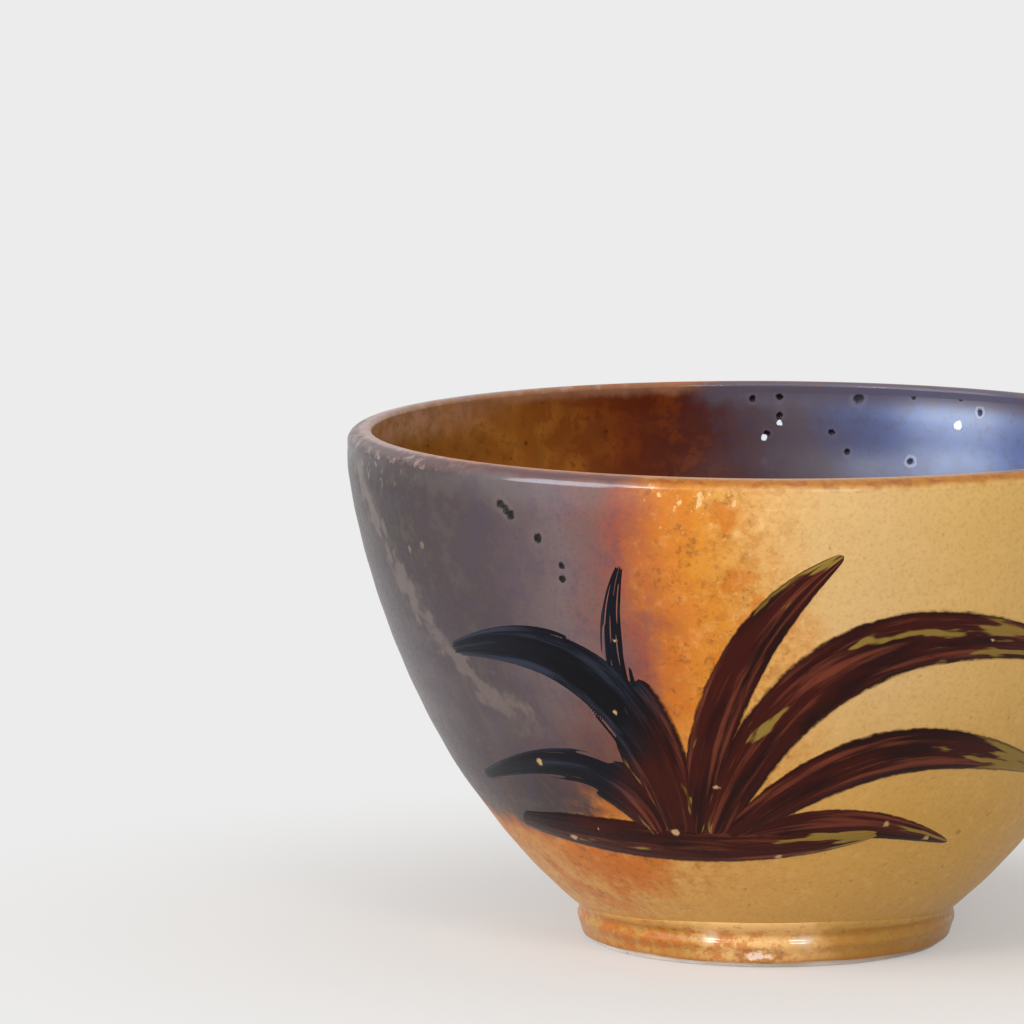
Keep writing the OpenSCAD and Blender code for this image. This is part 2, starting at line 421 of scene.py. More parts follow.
@dataclass
class Skin:
    """Closed skin: rings of points that each close on themselves, with values kept at the points.

    The rings either follow one another round in a loop, or run from one end to the other, where the
    first and the last ring shrink to a point.
    """

    rings: Array
    marks: dict[str, Array] = field(default_factory=dict)
    loop: bool = True

    def vertices(self, values: Array) -> Array:
        """Values in the order of the mesh's vertices.

        Args:
            values: Array with a row for each ring and a column for each point on it.

        Returns:
            One row per vertex; the two ends of an open run come last, as means of their rings.
        """
        if self.loop:
            return values.reshape((-1,) + values.shape[2:])
        ends = values[[0, -1]].mean(axis=1)
        return np.concatenate([values[1:-1].reshape((-1,) + values.shape[2:]), ends])

    def faces(self) -> tuple[Array, Array]:
        """Corners of the faces, turned so that they point outwards.

        Returns:
            Four-sided faces between rings, and three-sided faces at the two ends of an open run.
        """
        rings, around = self.rings.shape[:2]
        count = rings if self.loop else rings - 2
        grid = np.arange(count * around).reshape(count, around)
        here = grid if self.loop else grid[:-1]
        after = np.roll(grid, -1, axis=0) if self.loop else grid[1:]
        quads = np.stack([here, np.roll(here, -1, 1), np.roll(after, -1, 1), after], -1).reshape(-1, 4)
        triangles = np.zeros((0, 3), int)
        if not self.loop:
            first, last = np.full(around, grid.size), np.full(around, grid.size + 1)
            triangles = np.concatenate([
                np.stack([first, np.roll(grid[0], -1), grid[0]], -1),
                np.stack([last, grid[-1], np.roll(grid[-1], -1)], -1)])
        points = self.vertices(self.rings)
        halves = np.concatenate([quads[:, [0, 1, 2]], quads[:, [0, 2, 3]], triangles])
        a, b, c = (points[halves[:, k]] for k in range(3))
        if np.einsum("ij,ij->", a, np.cross(b, c)) < 0:
            quads, triangles = quads[:, ::-1], triangles[:, ::-1]
        return quads, triangles


def placed(name: str, data: bpy.types.ID) -> bpy.types.Object:
    """New object at the origin of the scene."""
    made = bpy.data.objects.new(name, data)
    bpy.context.scene.collection.objects.link(made)
    return made


def mesh_object(name: str, skins: list[Skin], sharp: float = 40.0) -> bpy.types.Object:
    """Make one object from closed skins.

    Args:
        name: Name of the piece.
        skins: Skins with the same marks, in millimetres.
        sharp: Angle in degrees above which an edge stays crisp.

    Returns:
        The object, at the origin, in metres, with each mark as a value at its vertices.
    """
    points, faces, offset = [], [], 0
    for skin in skins:
        quads, triangles = skin.faces()
        faces += (quads + offset).tolist() + (triangles + offset).tolist()
        points.append(skin.vertices(skin.rings))
        offset += len(points[-1])
    mesh = bpy.data.meshes.new(name)
    mesh.from_pydata(np.concatenate(points) * MM, [], faces)
    mesh.polygons.foreach_set("use_smooth", np.ones(len(faces), bool))
    for mark in skins[0].marks:
        layer = mesh.attributes.new(mark, "FLOAT", "POINT")
        layer.data.foreach_set("value", np.concatenate([skin.vertices(skin.marks[mark]) for skin in skins]))
    mesh.update()
    mesh.set_sharp_from_angle(angle=math.radians(sharp))
    return placed(name, mesh)


# Pours


def gap_to_line(points: Array, corners: Array, batch: int = 8000) -> Array:
    """Distance from points to a line of straight stretches.

    Args:
        points: Rows of three coordinates.
        corners: The line's corners, rows of three coordinates.
        batch: How many points are measured at a time.

    Returns:
        For each point, the least distance to a stretch: the point's foot on each stretch is held
        between its two ends.
    """
    start, along = corners[:-1], np.diff(corners, axis=0)
    gaps = []
    for some in np.array_split(points, len(points) // batch + 1):
        to = some[:, None] - start
        share = np.clip((to * along).sum(-1) / (along * along).sum(-1), 0, 1)
        gaps.append(np.linalg.norm(to - share[..., None] * along, axis=-1).min(axis=1))
    return np.concatenate(gaps)


@dataclass(frozen=True)
class PourOutline:
    """Outline of a poured glaze on one side of the bowl, seen from the front as in the part's source.

    Its line is kept as the angle away from that side, positive towards the front, and the length
    along the glaze path.

    Attributes:
        surface: The glazed surface.
        front: Edge on the front, in x and z.
        back: Edge on the back.
        side: Side that the pour covers, 1 for the right and -1 for the left.
        within: Whether it lies on the inside.
        run_h: Height of the runs along its edges.
        run_count: Runs on each edge.
        fine: Points on each edge.
        corners: Corners of the line that distances are measured to.
        past_lip: How far the outline goes on past the lip.
    """

    surface: ThrownSurface
    front: Cubic
    back: Cubic
    side: int
    within: bool
    run_h: float = 2.4
    run_count: int = 5
    fine: int = 3000
    corners: int = 180
    past_lip: float = 5.0

    @property
    def top(self) -> float:
        """Length along the path at which the pour starts, just below the lip."""
        return self.surface.path.inner_edge if self.within else self.surface.path.shoulder

    def _edge(self, curve: Cubic, facing: int) -> Array:
        """One edge from the lip down and out to the side.

        Args:
            curve: Edge seen from the front, in x and z.
            facing: 1 for the front edge and -1 for the back one.

        Returns:
            Rows of angle and length along the path.
        """
        t = np.linspace(0.0, 1.0, self.fine)
        runs = self.run_h * t * (1 - t) * 2 * (1 + np.sin(TURN * self.run_count * t))
        x, z = curve.points(t).T - np.array([np.zeros_like(t), runs])
        path = self.surface.path
        s = path.inside_at(z) if self.within else path.outside_at(z)
        r, top_z = path.at(s)[0], path.at(np.array([self.top]))[1][0]
        kept = (z <= top_z) & (np.abs(x) <= r)
        angle = facing * np.arccos(np.clip(self.side * x / r, -1, 1))
        line = np.stack([angle, s], 1)[kept]
        line[0, 1], line[-1, 0] = self.top, 0.0
        return line

    def line(self, count: int) -> Array:
        """Whole edge, from the lip's front end round the side to its back end.

        Args:
            count: Number of points.

        Returns:
            Rows of angle and length along the path, evenly spaced over the surface.
        """
        whole = np.concatenate([self._edge(self.front, 1), self._edge(self.back, -1)[::-1]])
        points = self.surface.place(self.theta(whole[:, 0]), whole[:, 1], dented=False)
        run = run_along(points)
        even = np.linspace(0.0, run[-1], count)
        return np.stack([np.interp(even, run, whole[:, k]) for k in (0, 1)], 1)

    def theta(self, angle: Array) -> Array:
        """Angles round the centre line for angles away from the pour's side."""
        return (np.pi if self.side < 0 else 0.0) - self.side * angle

    def reach(self, theta: Array, s: Array) -> Array:
        """Distance to the edge of the pour, positive within the pour.

        Args:
            theta: Angles round the centre line.
            s: Lengths along the path.

        Returns:
            Distances in millimetres to the nearest stretch of the edge. A place is within the pour if a
            ray along the path from it crosses the outline an odd number of times.
        """
        theta, s = np.broadcast_arrays(theta, s)
        shape, theta, s = theta.shape, theta.ravel(), s.ravel()
        line = self.line(self.corners)
        corners = self.surface.place(self.theta(line[:, 0]), line[:, 1], dented=False)
        gap = gap_to_line(self.surface.place(theta, s, dented=False), corners)
        beyond = self.top + (-self.past_lip if self.within else self.past_lip)
        outline = np.concatenate([line, [[line[-1, 0], beyond], [line[0, 0], beyond]]])
        after = np.roll(outline, -1, axis=0)
        angle = np.angle(np.exp(-1j * self.side * (theta - self.theta(np.zeros(1)))))[:, None]
        spans = (outline[:, 0] > angle) != (after[:, 0] > angle)
        width = np.where(after[:, 0] == outline[:, 0], 1.0, after[:, 0] - outline[:, 0])
        cross = outline[:, 1] + (angle - outline[:, 0]) / width * (after[:, 1] - outline[:, 1])
        odd = (spans & (s[:, None] < cross)).sum(axis=1) % 2 == 1
        return np.where(odd, gap, -gap).reshape(shape)


@dataclass(frozen=True)
class Decor:
    """Where the two pours lie, for every piece whose colour follows them.

    Attributes:
        outer: The pour on the outside.
        inner: The pour on the inside.
        overlap: Line on the front, in x and z, where the outer pour ran over itself and left a pale veil.
        fine: Points on that line.
    """

    outer: PourOutline
    inner: PourOutline
    overlap: Cubic = Cubic(((-59.5, 71), (-55, 58), (-49, 46), (-33, 36)))
    fine: int = 40

    def marks(self, theta: Array, s: Array) -> dict[str, Array]:
        """Values that the colours of the outside read.

        Args:
            theta: Angles round the centre line.
            s: Lengths along the path.

        Returns:
            The reach into the outer pour, carried straight over the lip, and the distance to the veil.
        """
        theta, s = np.broadcast_arrays(theta, s)
        surface = self.outer.surface
        x, z = self.overlap.points(np.linspace(0.0, 1.0, self.fine)).T
        along = surface.path.outside_at(z)
        veil = surface.place(-np.arccos(np.clip(x / surface.path.at(along)[0], -1, 1)), along, dented=False)
        points = surface.place(theta, s, dented=False).reshape(-1, 3)
        return {"slate_reach": self.outer.reach(theta, np.minimum(s, self.outer.top)),
                "veil_gap": gap_to_line(points, veil).reshape(theta.shape)}

    def inner_marks(self, theta: Array, s: Array) -> dict[str, Array]:
        """Values that the colours of the inside read.

        Args:
            theta: Angles round the centre line.
            s: Lengths along the path.

        Returns:
            The reach into the inner pour, carried straight over the lip.
        """
        return {"inner_reach": self.inner.reach(theta, np.maximum(s, self.inner.top))}


# Node trees

LOOK = ("Color", "Roughness", "Height", "Coat")


def tone(red: int, green: int, blue: int) -> Tone:
    """Colour as a shader takes it.

    Args:
        red: Red from 0 to 255 as seen on a screen.
        green: Green from 0 to 255.
        blue: Blue from 0 to 255.

    Returns:
        Linear red, green and blue, and 1 for opaque.
    """
    shares = [c / 255 for c in (red, green, blue)]
    return tuple(c / 12.92 if c <= 0.04045 else ((c + 0.055) / 1.055) ** 2.4 for c in shares) + (1.0,)


class Signal:
    """Output of a node. It can be reckoned with like a number, and each step adds a node."""

    def __init__(self, wiring: Wiring, socket: Socket) -> None:
        """Keep an output with the tree that it is in."""
        self.wiring, self.socket = wiring, socket

    def __add__(self, other: object) -> Signal:
        """This and a number or another output."""
        return self.wiring.math("ADD", self, other)

    def __sub__(self, other: object) -> Signal:
        """This less a number or another output."""
        return self.wiring.math("SUBTRACT", self, other)

    def __rsub__(self, other: float) -> Signal:
        """A number less this."""
        return self.wiring.math("SUBTRACT", other, self)

    def __mul__(self, other: object) -> Signal:
        """This times a number or another output."""
        return self.wiring.math("MULTIPLY", self, other)

    def at_least(self, other: object) -> Signal:
        """The greater of this and another output."""
        return self.wiring.math("MAXIMUM", self, other)

    def step(self, start: object, end: object, low: float = 0.0, high: float = 1.0) -> Signal:
        """A smooth rise from low to high as this goes from start to end."""
        inputs = {"Value": self, "From Min": start, "From Max": end, "To Min": low, "To Max": high}
        return self.wiring.make("MapRange", inputs, interpolation_type="SMOOTHSTEP")

    def swayed(self, size: float, depth: float, detail: float = 2.0) -> Signal:
        """This with noise that goes about depth to either side of it."""
        return self + self.wiring.sway(size, depth, detail)


class Wiring:
    """Short forms for adding nodes to one tree, which all read the same place in millimetres."""

    place: Signal | None = None

    def __init__(self, tree: bpy.types.NodeTree) -> None:
        """Take the tree that the nodes go into."""
        self.tree = tree

    @classmethod
    def afresh(cls, owner: bpy.types.Material | bpy.types.World) -> Wiring:
        """Start on the emptied tree of a material or a world."""
        owner.use_nodes = True
        owner.node_tree.nodes.clear()
        return cls(owner.node_tree)

    def plug(self, socket: Socket, value: object) -> None:
        """Link a socket to an output, or give it a fixed value.

        Args:
            socket: Input to fill.
            value: An output, a number or a row of numbers.
        """
        if isinstance(value, Signal):
            self.tree.links.new(value.socket, socket)
        else:
            socket.default_value = value

    def node(self, kind: str, inputs: Inputs | None = None, **settings: object) -> bpy.types.Node:
        """Add a node.

        Args:
            kind: The node's type, without the leading ShaderNode.
            inputs: Values or outputs for its inputs, by name or number.
            **settings: Properties of the node.

        Returns:
            The node.
        """
        node = self.tree.nodes.new(f"ShaderNode{kind}")
        for name, value in settings.items():
            setattr(node, name, value)
        for name, value in (inputs or {}).items():
            self.plug(node.inputs[name], value)
        return node

    def make(self, kind: str, inputs: Inputs | None = None, output: str | int = 0,
             **settings: object) -> Signal:
        """Add a node and take one of its outputs, the first unless another is named; see node."""
        return Signal(self, self.node(kind, inputs, **settings).outputs[output])

    def math(self, operation: str, *values: object) -> Signal:
        """Result of a Math node."""
        return self.make("Math", dict(enumerate(values)), operation=operation)

    def vector(self, operation: str, *values: object) -> Signal:
        """Vector result of a Vector Math node."""
        return self.make("VectorMath", dict(enumerate(values)), operation=operation)

    def scaled(self, vector: object, scale: float) -> Signal:
        """A vector times a number."""
        return self.make("VectorMath", {0: vector, "Scale": scale}, operation="SCALE")

    def gap(self, point: object) -> Signal:
        """Distance from the place to a point."""
        return self.make("VectorMath", {0: self.place, 1: point}, "Value", operation="DISTANCE")

    def height(self) -> Signal:
        """Height of the place."""
        return self.make("SeparateXYZ", {0: self.place}, "Z")

    def mark(self, name: str) -> Signal:
        """Value kept at the vertices under a name."""
        return self.make("Attribute", None, "Fac", attribute_name=name)

    def blend(self, share: object, below: object, above: object, how: str = "MIX") -> Signal:
        """One colour over another by a share from 0 to 1."""
        return self.make("Mix", {0: share, 6: below, 7: above}, 2, data_type="RGBA", blend_type=how)

    def lay(self, color: object, *layers: tuple[object, object]) -> Signal:
        """Lay colours over a first one in turn.

        Args:
            color: The lowest colour.
            *layers: Shares from 0 to 1, each with the colour that is laid on by it.

        Returns:
            The mixed colour.
        """
        for share, above in layers:
            color = self.blend(share, color, above)
        return color

    def noise(self, size: float, detail: float = 2.0, rough: float = 0.5,
              place: Signal | None = None) -> Signal:
        """Noise from 0 to 1 whose features are about size across."""
        inputs = {"Vector": place or self.place, "Scale": 1.0 / size, "Detail": detail, "Roughness": rough}
        return self.make("TexNoise", inputs)

    def sway(self, size: float, depth: float, detail: float = 2.0, place: Signal | None = None) -> Signal:
        """Noise that goes about depth to either side of zero."""
        return (self.noise(size, detail, place=place) - 0.5) * (4 * depth)

    def bent(self, scale: float, detail: float, depth: float) -> Signal:
        """Move the place by noise.

        Args:
            scale: Scale of the noise.
            detail: Its detail.
            depth: How far the noise moves the place in all, half of it to either side.

        Returns:
            The moved place.
        """
        noise = self.make("TexNoise", {"Vector": self.place, "Scale": scale, "Detail": detail}, "Color")
        shift = self.scaled(self.vector("SUBTRACT", noise, (0.5, 0.5, 0.5)), depth)
        return self.vector("ADD", self.place, shift)

    def ramp(self, value: Signal, *stops: tuple[float, int, int, int]) -> Signal:
        """A colour that follows a value.

        Args:
            value: Value to read.
            *stops: Rising values, each with the red, green and blue that are reached at it.

        Returns:
            The colour.
        """
        low, high = stops[0][0], stops[-1][0]
        share = self.make("MapRange", {"Value": value, "From Min": low, "From Max": high})
        node = self.node("ValToRGB", {0: share})
        elements = node.color_ramp.elements
        elements.remove(elements[0])
        elements[0].position, elements[0].color = 0.0, tone(*stops[0][1:])
        for at, *color in stops[1:]:
            elements.new((at - low) / (high - low)).color = tone(*color)
        return Signal(self, node.outputs[0])

    def use(self, group: bpy.types.NodeTree, **inputs: object) -> dict[str, Signal]:
        """Place a node group.

        Args:
            group: The group.
            **inputs: Values or outputs by the input's name in small letters; the place goes in by itself.

        Returns:
            The outputs of its node by name.
        """
        node = self.node("Group", node_tree=group)
        for name, value in {"place": self.place, **inputs}.items():
            self.plug(node.inputs[name.title()], value)
        return {socket.name: Signal(self, socket) for socket in node.outputs}


class SocketKind(Enum):
    """Kinds of socket that the groups take and give."""

    VALUE = "NodeSocketFloat"
    VECTOR = "NodeSocketVector"
    COLOR = "NodeSocketColor"


class GroupDraft(Wiring):
    """Shader node group that takes a Place and other named inputs; a socket is a value unless listed."""

    KINDS: ClassVar[dict[str, SocketKind]] = {
        "Place": SocketKind.VECTOR, "Centre": SocketKind.VECTOR, "Color": SocketKind.COLOR}

    def __init__(self, name: str, takes: tuple[str, ...], gives: tuple[str, ...]) -> None:
        """Make the group's sockets.

        Args:
            name: Name of the group.
            takes: Names of the inputs after the Place.
            gives: Names of the outputs.
        """
        super().__init__(bpy.data.node_groups.new(name, "ShaderNodeTree"))
        for way, names in (("INPUT", ("Place", *takes)), ("OUTPUT", gives)):
            for socket in names:
                kind = self.KINDS.get(socket, SocketKind.VALUE)
                self.tree.interface.new_socket(socket, in_out=way, socket_type=kind.value)
        inputs = self.tree.nodes.new("NodeGroupInput").outputs
        self.place, *self.taken = (Signal(self, inputs[name]) for name in ("Place", *takes))
        self.given = self.tree.nodes.new("NodeGroupOutput").inputs

    def give(self, *outputs: Signal) -> bpy.types.NodeTree:
        """Link the group's outputs.

        Args:
            *outputs: What each output gives, in their order.

        Returns:
            The group.
        """
        for socket, value in zip(self.given, outputs):
            self.plug(socket, value)
        return self.tree


# Shared effects of the kiln


@dataclass(frozen=True)
class Look:
    """What a shader shows: colour, roughness, relief in millimetres and the share of a glassy coat."""

    color: object
    roughness: object
    height: object
    coat: object = 0.0


@dataclass(frozen=True)
class Pit:
    """A burst bubble: its place on the bowl, its radius, how dark its hole is and how pale its ring."""

    place: tuple[float, float, float]
    radius: float
    depth: float = 1.0
    ring: float = 0.04


@dataclass(frozen=True)
class KilnEffects:
    """Node groups that more than one finish uses."""

    speckle: bpy.types.NodeTree
    pit: bpy.types.NodeTree
    outside: bpy.types.NodeTree
    inside: bpy.types.NodeTree

    @classmethod
    def build(cls) -> KilnEffects:
        """Build each group once."""
        speckle = speckle_group()
        return cls(speckle, pit_group(), outside_group(speckle), inside_group(speckle))

    def of_outside(self, wiring: Wiring) -> Look:
        """The outside's look at a piece's places."""
        glaze = wiring.use(self.outside, reach=wiring.mark("slate_reach"), veil=wiring.mark("veil_gap"))
        return Look(*(glaze[name] for name in LOOK))

    def of_inside(self, wiring: Wiring) -> Look:
        """The inside's look at a piece's places."""
        glaze = wiring.use(self.inside, reach=wiring.mark("inner_reach"))
        return Look(*(glaze[name] for name in LOOK))

    def specks(self, wiring: Wiring, spacing: float, radius: float, share: float) -> Signal:
        """Mask of iron specks."""
        return wiring.use(self.speckle, spacing=spacing, radius=radius, share=share)["Mask"]

    def burst(self, wiring: Wiring, pit: Pit, **inputs: object) -> dict[str, Signal]:
        """Mask, Ring and Depth of one burst bubble."""
        return wiring.use(self.pit, centre=pit.place, radius=pit.radius, **inputs)

    def pitted(self, wiring: Wiring, look: Look, pits: tuple[Pit, ...], hole: Tone, ring: Tone) -> Look:
        """Put burst bubbles into a glaze.

        Args:
            wiring: Short forms for the material's nodes.
            look: The glaze.
            pits: The bubbles.
            hole: Colour in the holes, dark partly as painted shade.
            ring: Colour of the thin glaze round them.

        Returns:
            The glaze with holes in its colour, its relief and its glassy coat.
        """
        color, height, coat = look.color, look.height, look.coat
        for pit in pits:
            outputs = self.burst(wiring, pit)
            # The hole's dark colour is partly the glaze's own and partly painted shade in the hollow.
            color = wiring.lay(color, (outputs["Ring"] * pit.ring, ring), (outputs["Mask"] * pit.depth, hole))
            height, coat = height - outputs["Depth"], coat * (1.0 - outputs["Mask"])
        return Look(color, look.roughness, height, coat)


def speckle_group() -> bpy.types.NodeTree:
    """Small iron specks, each in a cell of its own.

    Returns:
        A group that takes the Spacing of the specks in millimetres, their Radius and the Share of cells
        that have one, and gives a Mask: 1 within a speck whose outline is bent by noise.
    """
    draft = GroupDraft("kiln_speckle", ("Spacing", "Radius", "Share"), ("Mask",))
    spacing, radius, share = draft.taken
    scale = draft.math("DIVIDE", 1.0, spacing)
    cells = draft.node("TexVoronoi", {"Vector": draft.bent(1.1, 2.0, 1.1), "Scale": scale})
    gap, color = (Signal(draft, cells.outputs[name]) for name in ("Distance", "Color"))
    chance, size = (Signal(draft, output) for output in draft.node("SeparateColor", {0: color}).outputs[:2])
    own = radius * (size + 0.35)
    return draft.give((gap * spacing).step(own, own * 0.45) * draft.math("LESS_THAN", chance, share))


def pit_group() -> bpy.types.NodeTree:
    """One burst bubble in the glaze.

    Returns:
        A group that takes the Centre and the Radius in millimetres, and gives a Mask of the hole, a
        Ring of the raised, thin glaze round it, and the Depth.
    """
    draft = GroupDraft("burst_bubble", ("Centre", "Radius"), ("Mask", "Ring", "Depth"))
    centre, radius = draft.taken
    share = draft.math("DIVIDE", draft.gap(centre).swayed(0.9, 0.2), radius)
    ring = share.step(2.0, 1.3) * share.step(0.9, 1.25)
    return draft.give(share.step(1.0, 0.72), ring, share.step(1.2, 0.2, 0.0, 0.14))


def outside_group(speckle: bpy.types.NodeTree) -> bpy.types.NodeTree:
    """Colours of the outside, from the slate pour over its rusty edge to the bare amber.

    Args:
        speckle: The group of iron specks.

    Returns:
        A group that takes the Reach into the pour and the distance to its Veil, and gives a look.
    """
    draft = GroupDraft("outside_glaze_colours", ("Reach", "Veil"), LOOK)
    edge, veil = draft.taken
    height, noise = draft.height(), draft.noise
    reach = edge.swayed(15.0, 2.6).swayed(3.2, 0.9, 4.0)
    # In the upper slate, some 14 mm into the pour, the colour is lighter than deeper in: partly its own tone,
    # partly a painted sheen.
    upper = draft.ramp(
        reach, (-62, 205, 163, 91), (-47, 209, 169, 100), (-32, 208, 170, 112), (-25, 208, 170, 112),
        (-18, 209, 159, 93), (-12, 204, 146, 68), (-7, 200, 126, 34), (-3.5, 194, 112, 32),
        (0, 168, 90, 42), (4, 140, 72, 54), (8, 116, 76, 70), (14, 104, 85, 86), (26, 73, 60, 63),
        (44, 54, 41, 41), (60, 42, 27, 27))
    lower = draft.ramp(
        reach, (-50, 193, 150, 70), (-30, 200, 154, 78), (-16, 202, 151, 78), (-8, 196, 138, 66),
        (-2.5, 190, 122, 50), (-0.8, 150, 80, 34), (0.8, 58, 42, 42), (8, 50, 43, 46), (26, 43, 38, 42))
    low = height.swayed(12.0, 4.0).step(50.0, 22.0)

    # The amber is cloudy, and scorched in rusty patches near the pour's edge
    within = reach.step(-2.0, 4.0)
    amber = 1.0 - within
    bloom = draft.gap((-23.0, -33.0, 15.5))
    patch = (noise(6.5, 5.0, 0.6) + bloom.step(12.0, 3.0, 0.0, 0.2)).step(0.5, 0.62)
    bright = noise(2.4, 6.0, 0.7).step(0.5, 0.68) * amber
    sponge = noise(1.7, 6.0, 0.72).step(0.46, 0.6) * amber
    grain = noise(0.62, 4.0, 0.7)
    color = draft.lay(
        draft.blend(low, upper, lower),
        (patch * reach.step(-26.0, -8.0, 0.0, 0.8) * amber, tone(190, 102, 16)),
        (bloom.swayed(4.0, 3.0, 4.0).step(9.0, 3.5, 0.0, 0.75) * amber, tone(188, 98, 14)),
        (bright * 0.2, tone(232, 190, 124)),
        (sponge * reach.step(-27.0, -12.0, 0.04, 0.5), tone(176, 104, 30)),
        (grain.step(0.46, 0.72, 0.0, 0.28), draft.blend(within, tone(150, 100, 40), tone(50, 42, 46))))

    # The slate drifts between blue and taupe, and is paler where the pour ran over itself
    drift = noise(5.0, 6.0, 0.68)
    turn, stretch = (0.0, 0.3, 0.0), (1.0, 1.0, 0.2)
    runs = draft.make("Mapping", {"Vector": draft.place, "Rotation": turn, "Scale": stretch})
    band = veil.swayed(3.0, 3.2, 6.0).step(2.6, 0.2)
    ash = (band * 0.5).at_least(noise(7.0, 4.0, 0.55, runs).step(0.56, 0.74, 0.0, 0.25))

    # Iron specks: scorched clusters in the rust, and sparse ones over all the amber
    ember = noise(0.95, 5.0, 0.65).step(0.5, 0.64)
    cluster = noise(3.4, 3.0, 0.6).step(0.46, 0.56)
    sparse, coarse = (draft.use(speckle, spacing=spacing, radius=radius, share=share)["Mask"]
                      for spacing, radius, share in ((2.2, 0.3, 0.5), (6.5, 0.5, 0.6)))
    dense = ember * cluster * reach.step(-28.0, -9.0, 0.0, 0.8)
    specks = amber * dense.at_least((sparse * 0.7).at_least(coarse))

    # Pale flecks: in the rust under the lip, and on the lip at the far left
    fleck = noise(1.5, 3.0, 0.55).step(0.58, 0.68)
    under = height.step(65.0, 71.0) * reach.step(-26.0, -10.0) * reach.step(2.0, -2.0)
    left = height.step(67.0, 72.0) * reach.step(34.0, 48.0, 0.0, 0.5)
    color = draft.lay(
        color,
        (drift.step(0.48, 0.62, 0.0, 0.3) * within, tone(68, 60, 76)),
        (drift.step(0.52, 0.38, 0.0, 0.3) * within, tone(92, 81, 75)),
        (ash * reach.step(8.0, 20.0), tone(118, 103, 94)),
        (specks * 0.6, draft.blend(reach.step(-30.0, -9.0), tone(132, 90, 40), tone(112, 58, 16))),
        (fleck * under.at_least(left) * 0.65, draft.blend(within, tone(240, 196, 140), tone(164, 144, 134))))

    rough = within * -0.06 + grain.step(0.3, 0.7, 0.34, 0.44)
    relief = noise(1.6, 3.0) * 0.03 - specks * 0.02
    wet = reach.step(-6.0, 4.0, 0.12, 1.0) * reach.step(40.0, 24.0, 0.25, 1.0)
    return draft.give(color, rough, relief, height.step(69.0, 74.0) * wet)


def inside_group(speckle: bpy.types.NodeTree) -> bpy.types.NodeTree:
    """Colours of the inside, from the brown glaze over a maroon edge to the slate-blue pour.

    Args:
        speckle: The group of iron specks.

    Returns:
        A group that takes the Reach into the pour, and gives a look.
    """
    draft = GroupDraft("inside_glaze_colours", ("Reach",), LOOK)
    height, noise = draft.height(), draft.noise
    reach = draft.taken[0].swayed(14.0, 2.0).swayed(3.0, 0.8, 4.0)
    # Deep in the pour the blue grows lighter and stronger: partly the glaze's own blue, partly a painted
    # sheen.
    color = draft.ramp(
        reach, (-70, 150, 96, 34), (-34, 142, 82, 20), (-24, 116, 57, 12), (-15, 92, 37, 12),
        (-8, 76, 31, 20), (-2, 74, 34, 28), (4, 74, 54, 58), (12, 70, 58, 70), (22, 62, 74, 118),
        (28, 68, 92, 150), (40, 82, 95, 132))
    within = reach.step(-6.0, 3.0)
    bare = 1.0 - within
    specks = draft.use(speckle, spacing=2.4, radius=0.34, share=0.5)["Mask"]
    color = draft.lay(
        color,
        (noise(4.0, 6.0, 0.7).step(0.46, 0.62) * (bare * 0.55),
         draft.blend(reach.step(-30.0, -14.0), tone(180, 116, 40), tone(124, 56, 16))),
        (noise(2.0, 5.0, 0.7).step(0.48, 0.64) * 0.42,
         draft.blend(within, tone(78, 32, 4), tone(56, 54, 72))),
        (specks * (bare * 0.6), tone(50, 22, 6)))

    # The glaze pooled on the floor is deeper, and the wall under the lip is thin and pale on the left; that
    # paleness is partly a painted sheen at the grazing edge
    color = draft.blend(height.step(22.0, 11.0) * 0.6, color, tone(150, 110, 80), "MULTIPLY")
    edge = height.swayed(3.0, 0.7, 4.0)
    pale = edge.step(68.5, 73.0) * reach.step(-30.0, -58.0) * noise(2.2, 5.0, 0.65).step(0.35, 0.6, 0.45, 1.0)
    thin = edge.step(72.8, 74.6, 0.0, 0.3) * bare
    color = draft.lay(color, ((pale * 0.8).at_least(thin), tone(200, 152, 116)),
                      (edge.step(70.5, 73.0, 0.0, 0.85) * within, tone(86, 78, 90)))
    rough = noise(0.6, 3.0).step(0.2, 0.8, 0.16, 0.24) + within * 0.1
    wet = reach.step(3.0, 12.0, 0.0, 0.4) + reach.step(18.0, 32.0, 0.0, 0.6)
    coat = (wet * height.step(74.5, 71.0, 0.25, 1.0)).at_least(height.step(72.0, 74.5, 0.0, 0.25))
    return draft.give(color, rough, noise(2.0, 3.0) * 0.03, coat)


# Finishes


@dataclass(frozen=True)
class Finish(ABC):
    """Surface of one piece, made as a material by its look method."""

    kiln: KilnEffects
    name: str
    gloss: ClassVar[float] = 0.24
    coat_roughness: ClassVar[float] = 0.12
    coat_index: ClassVar[float] = 1.62

    def material(self) -> bpy.types.Material:
        """Make the material.

        Returns:
            The material, with its shader wired up.
        """
        made = bpy.data.materials.new(self.name)
        wiring = Wiring.afresh(made)
        wiring.place = wiring.scaled(wiring.make("TexCoord", output="Object"), 1 / MM)
        look = self.look(wiring)
        bump = wiring.make("Bump", {"Height": look.height, "Distance": MM, "Strength": 1.0})
        shader = wiring.make("BsdfPrincipled", {
            "Base Color": look.color, "Roughness": look.roughness, "Normal": bump,
            "Specular IOR Level": self.gloss, "Coat Weight": look.coat,
            "Coat Roughness": self.coat_roughness, "Coat IOR": self.coat_index})
        wiring.node("OutputMaterial", {"Surface": shader})
        return made

    @abstractmethod
    def look(self, wiring: Wiring) -> Look:
        """Wire the finish.

        Args:
            wiring: Short forms for the material's nodes.

        Returns:
            What the shader shows.
        """


@dataclass(frozen=True)
class AmberFinish(Finish):
    """Satin amber glaze of the outside wall."""

    name: str = "amber_glaze"

    def look(self, wiring: Wiring) -> Look:
        """The outside's colours as they are."""
        return self.kiln.of_outside(wiring)


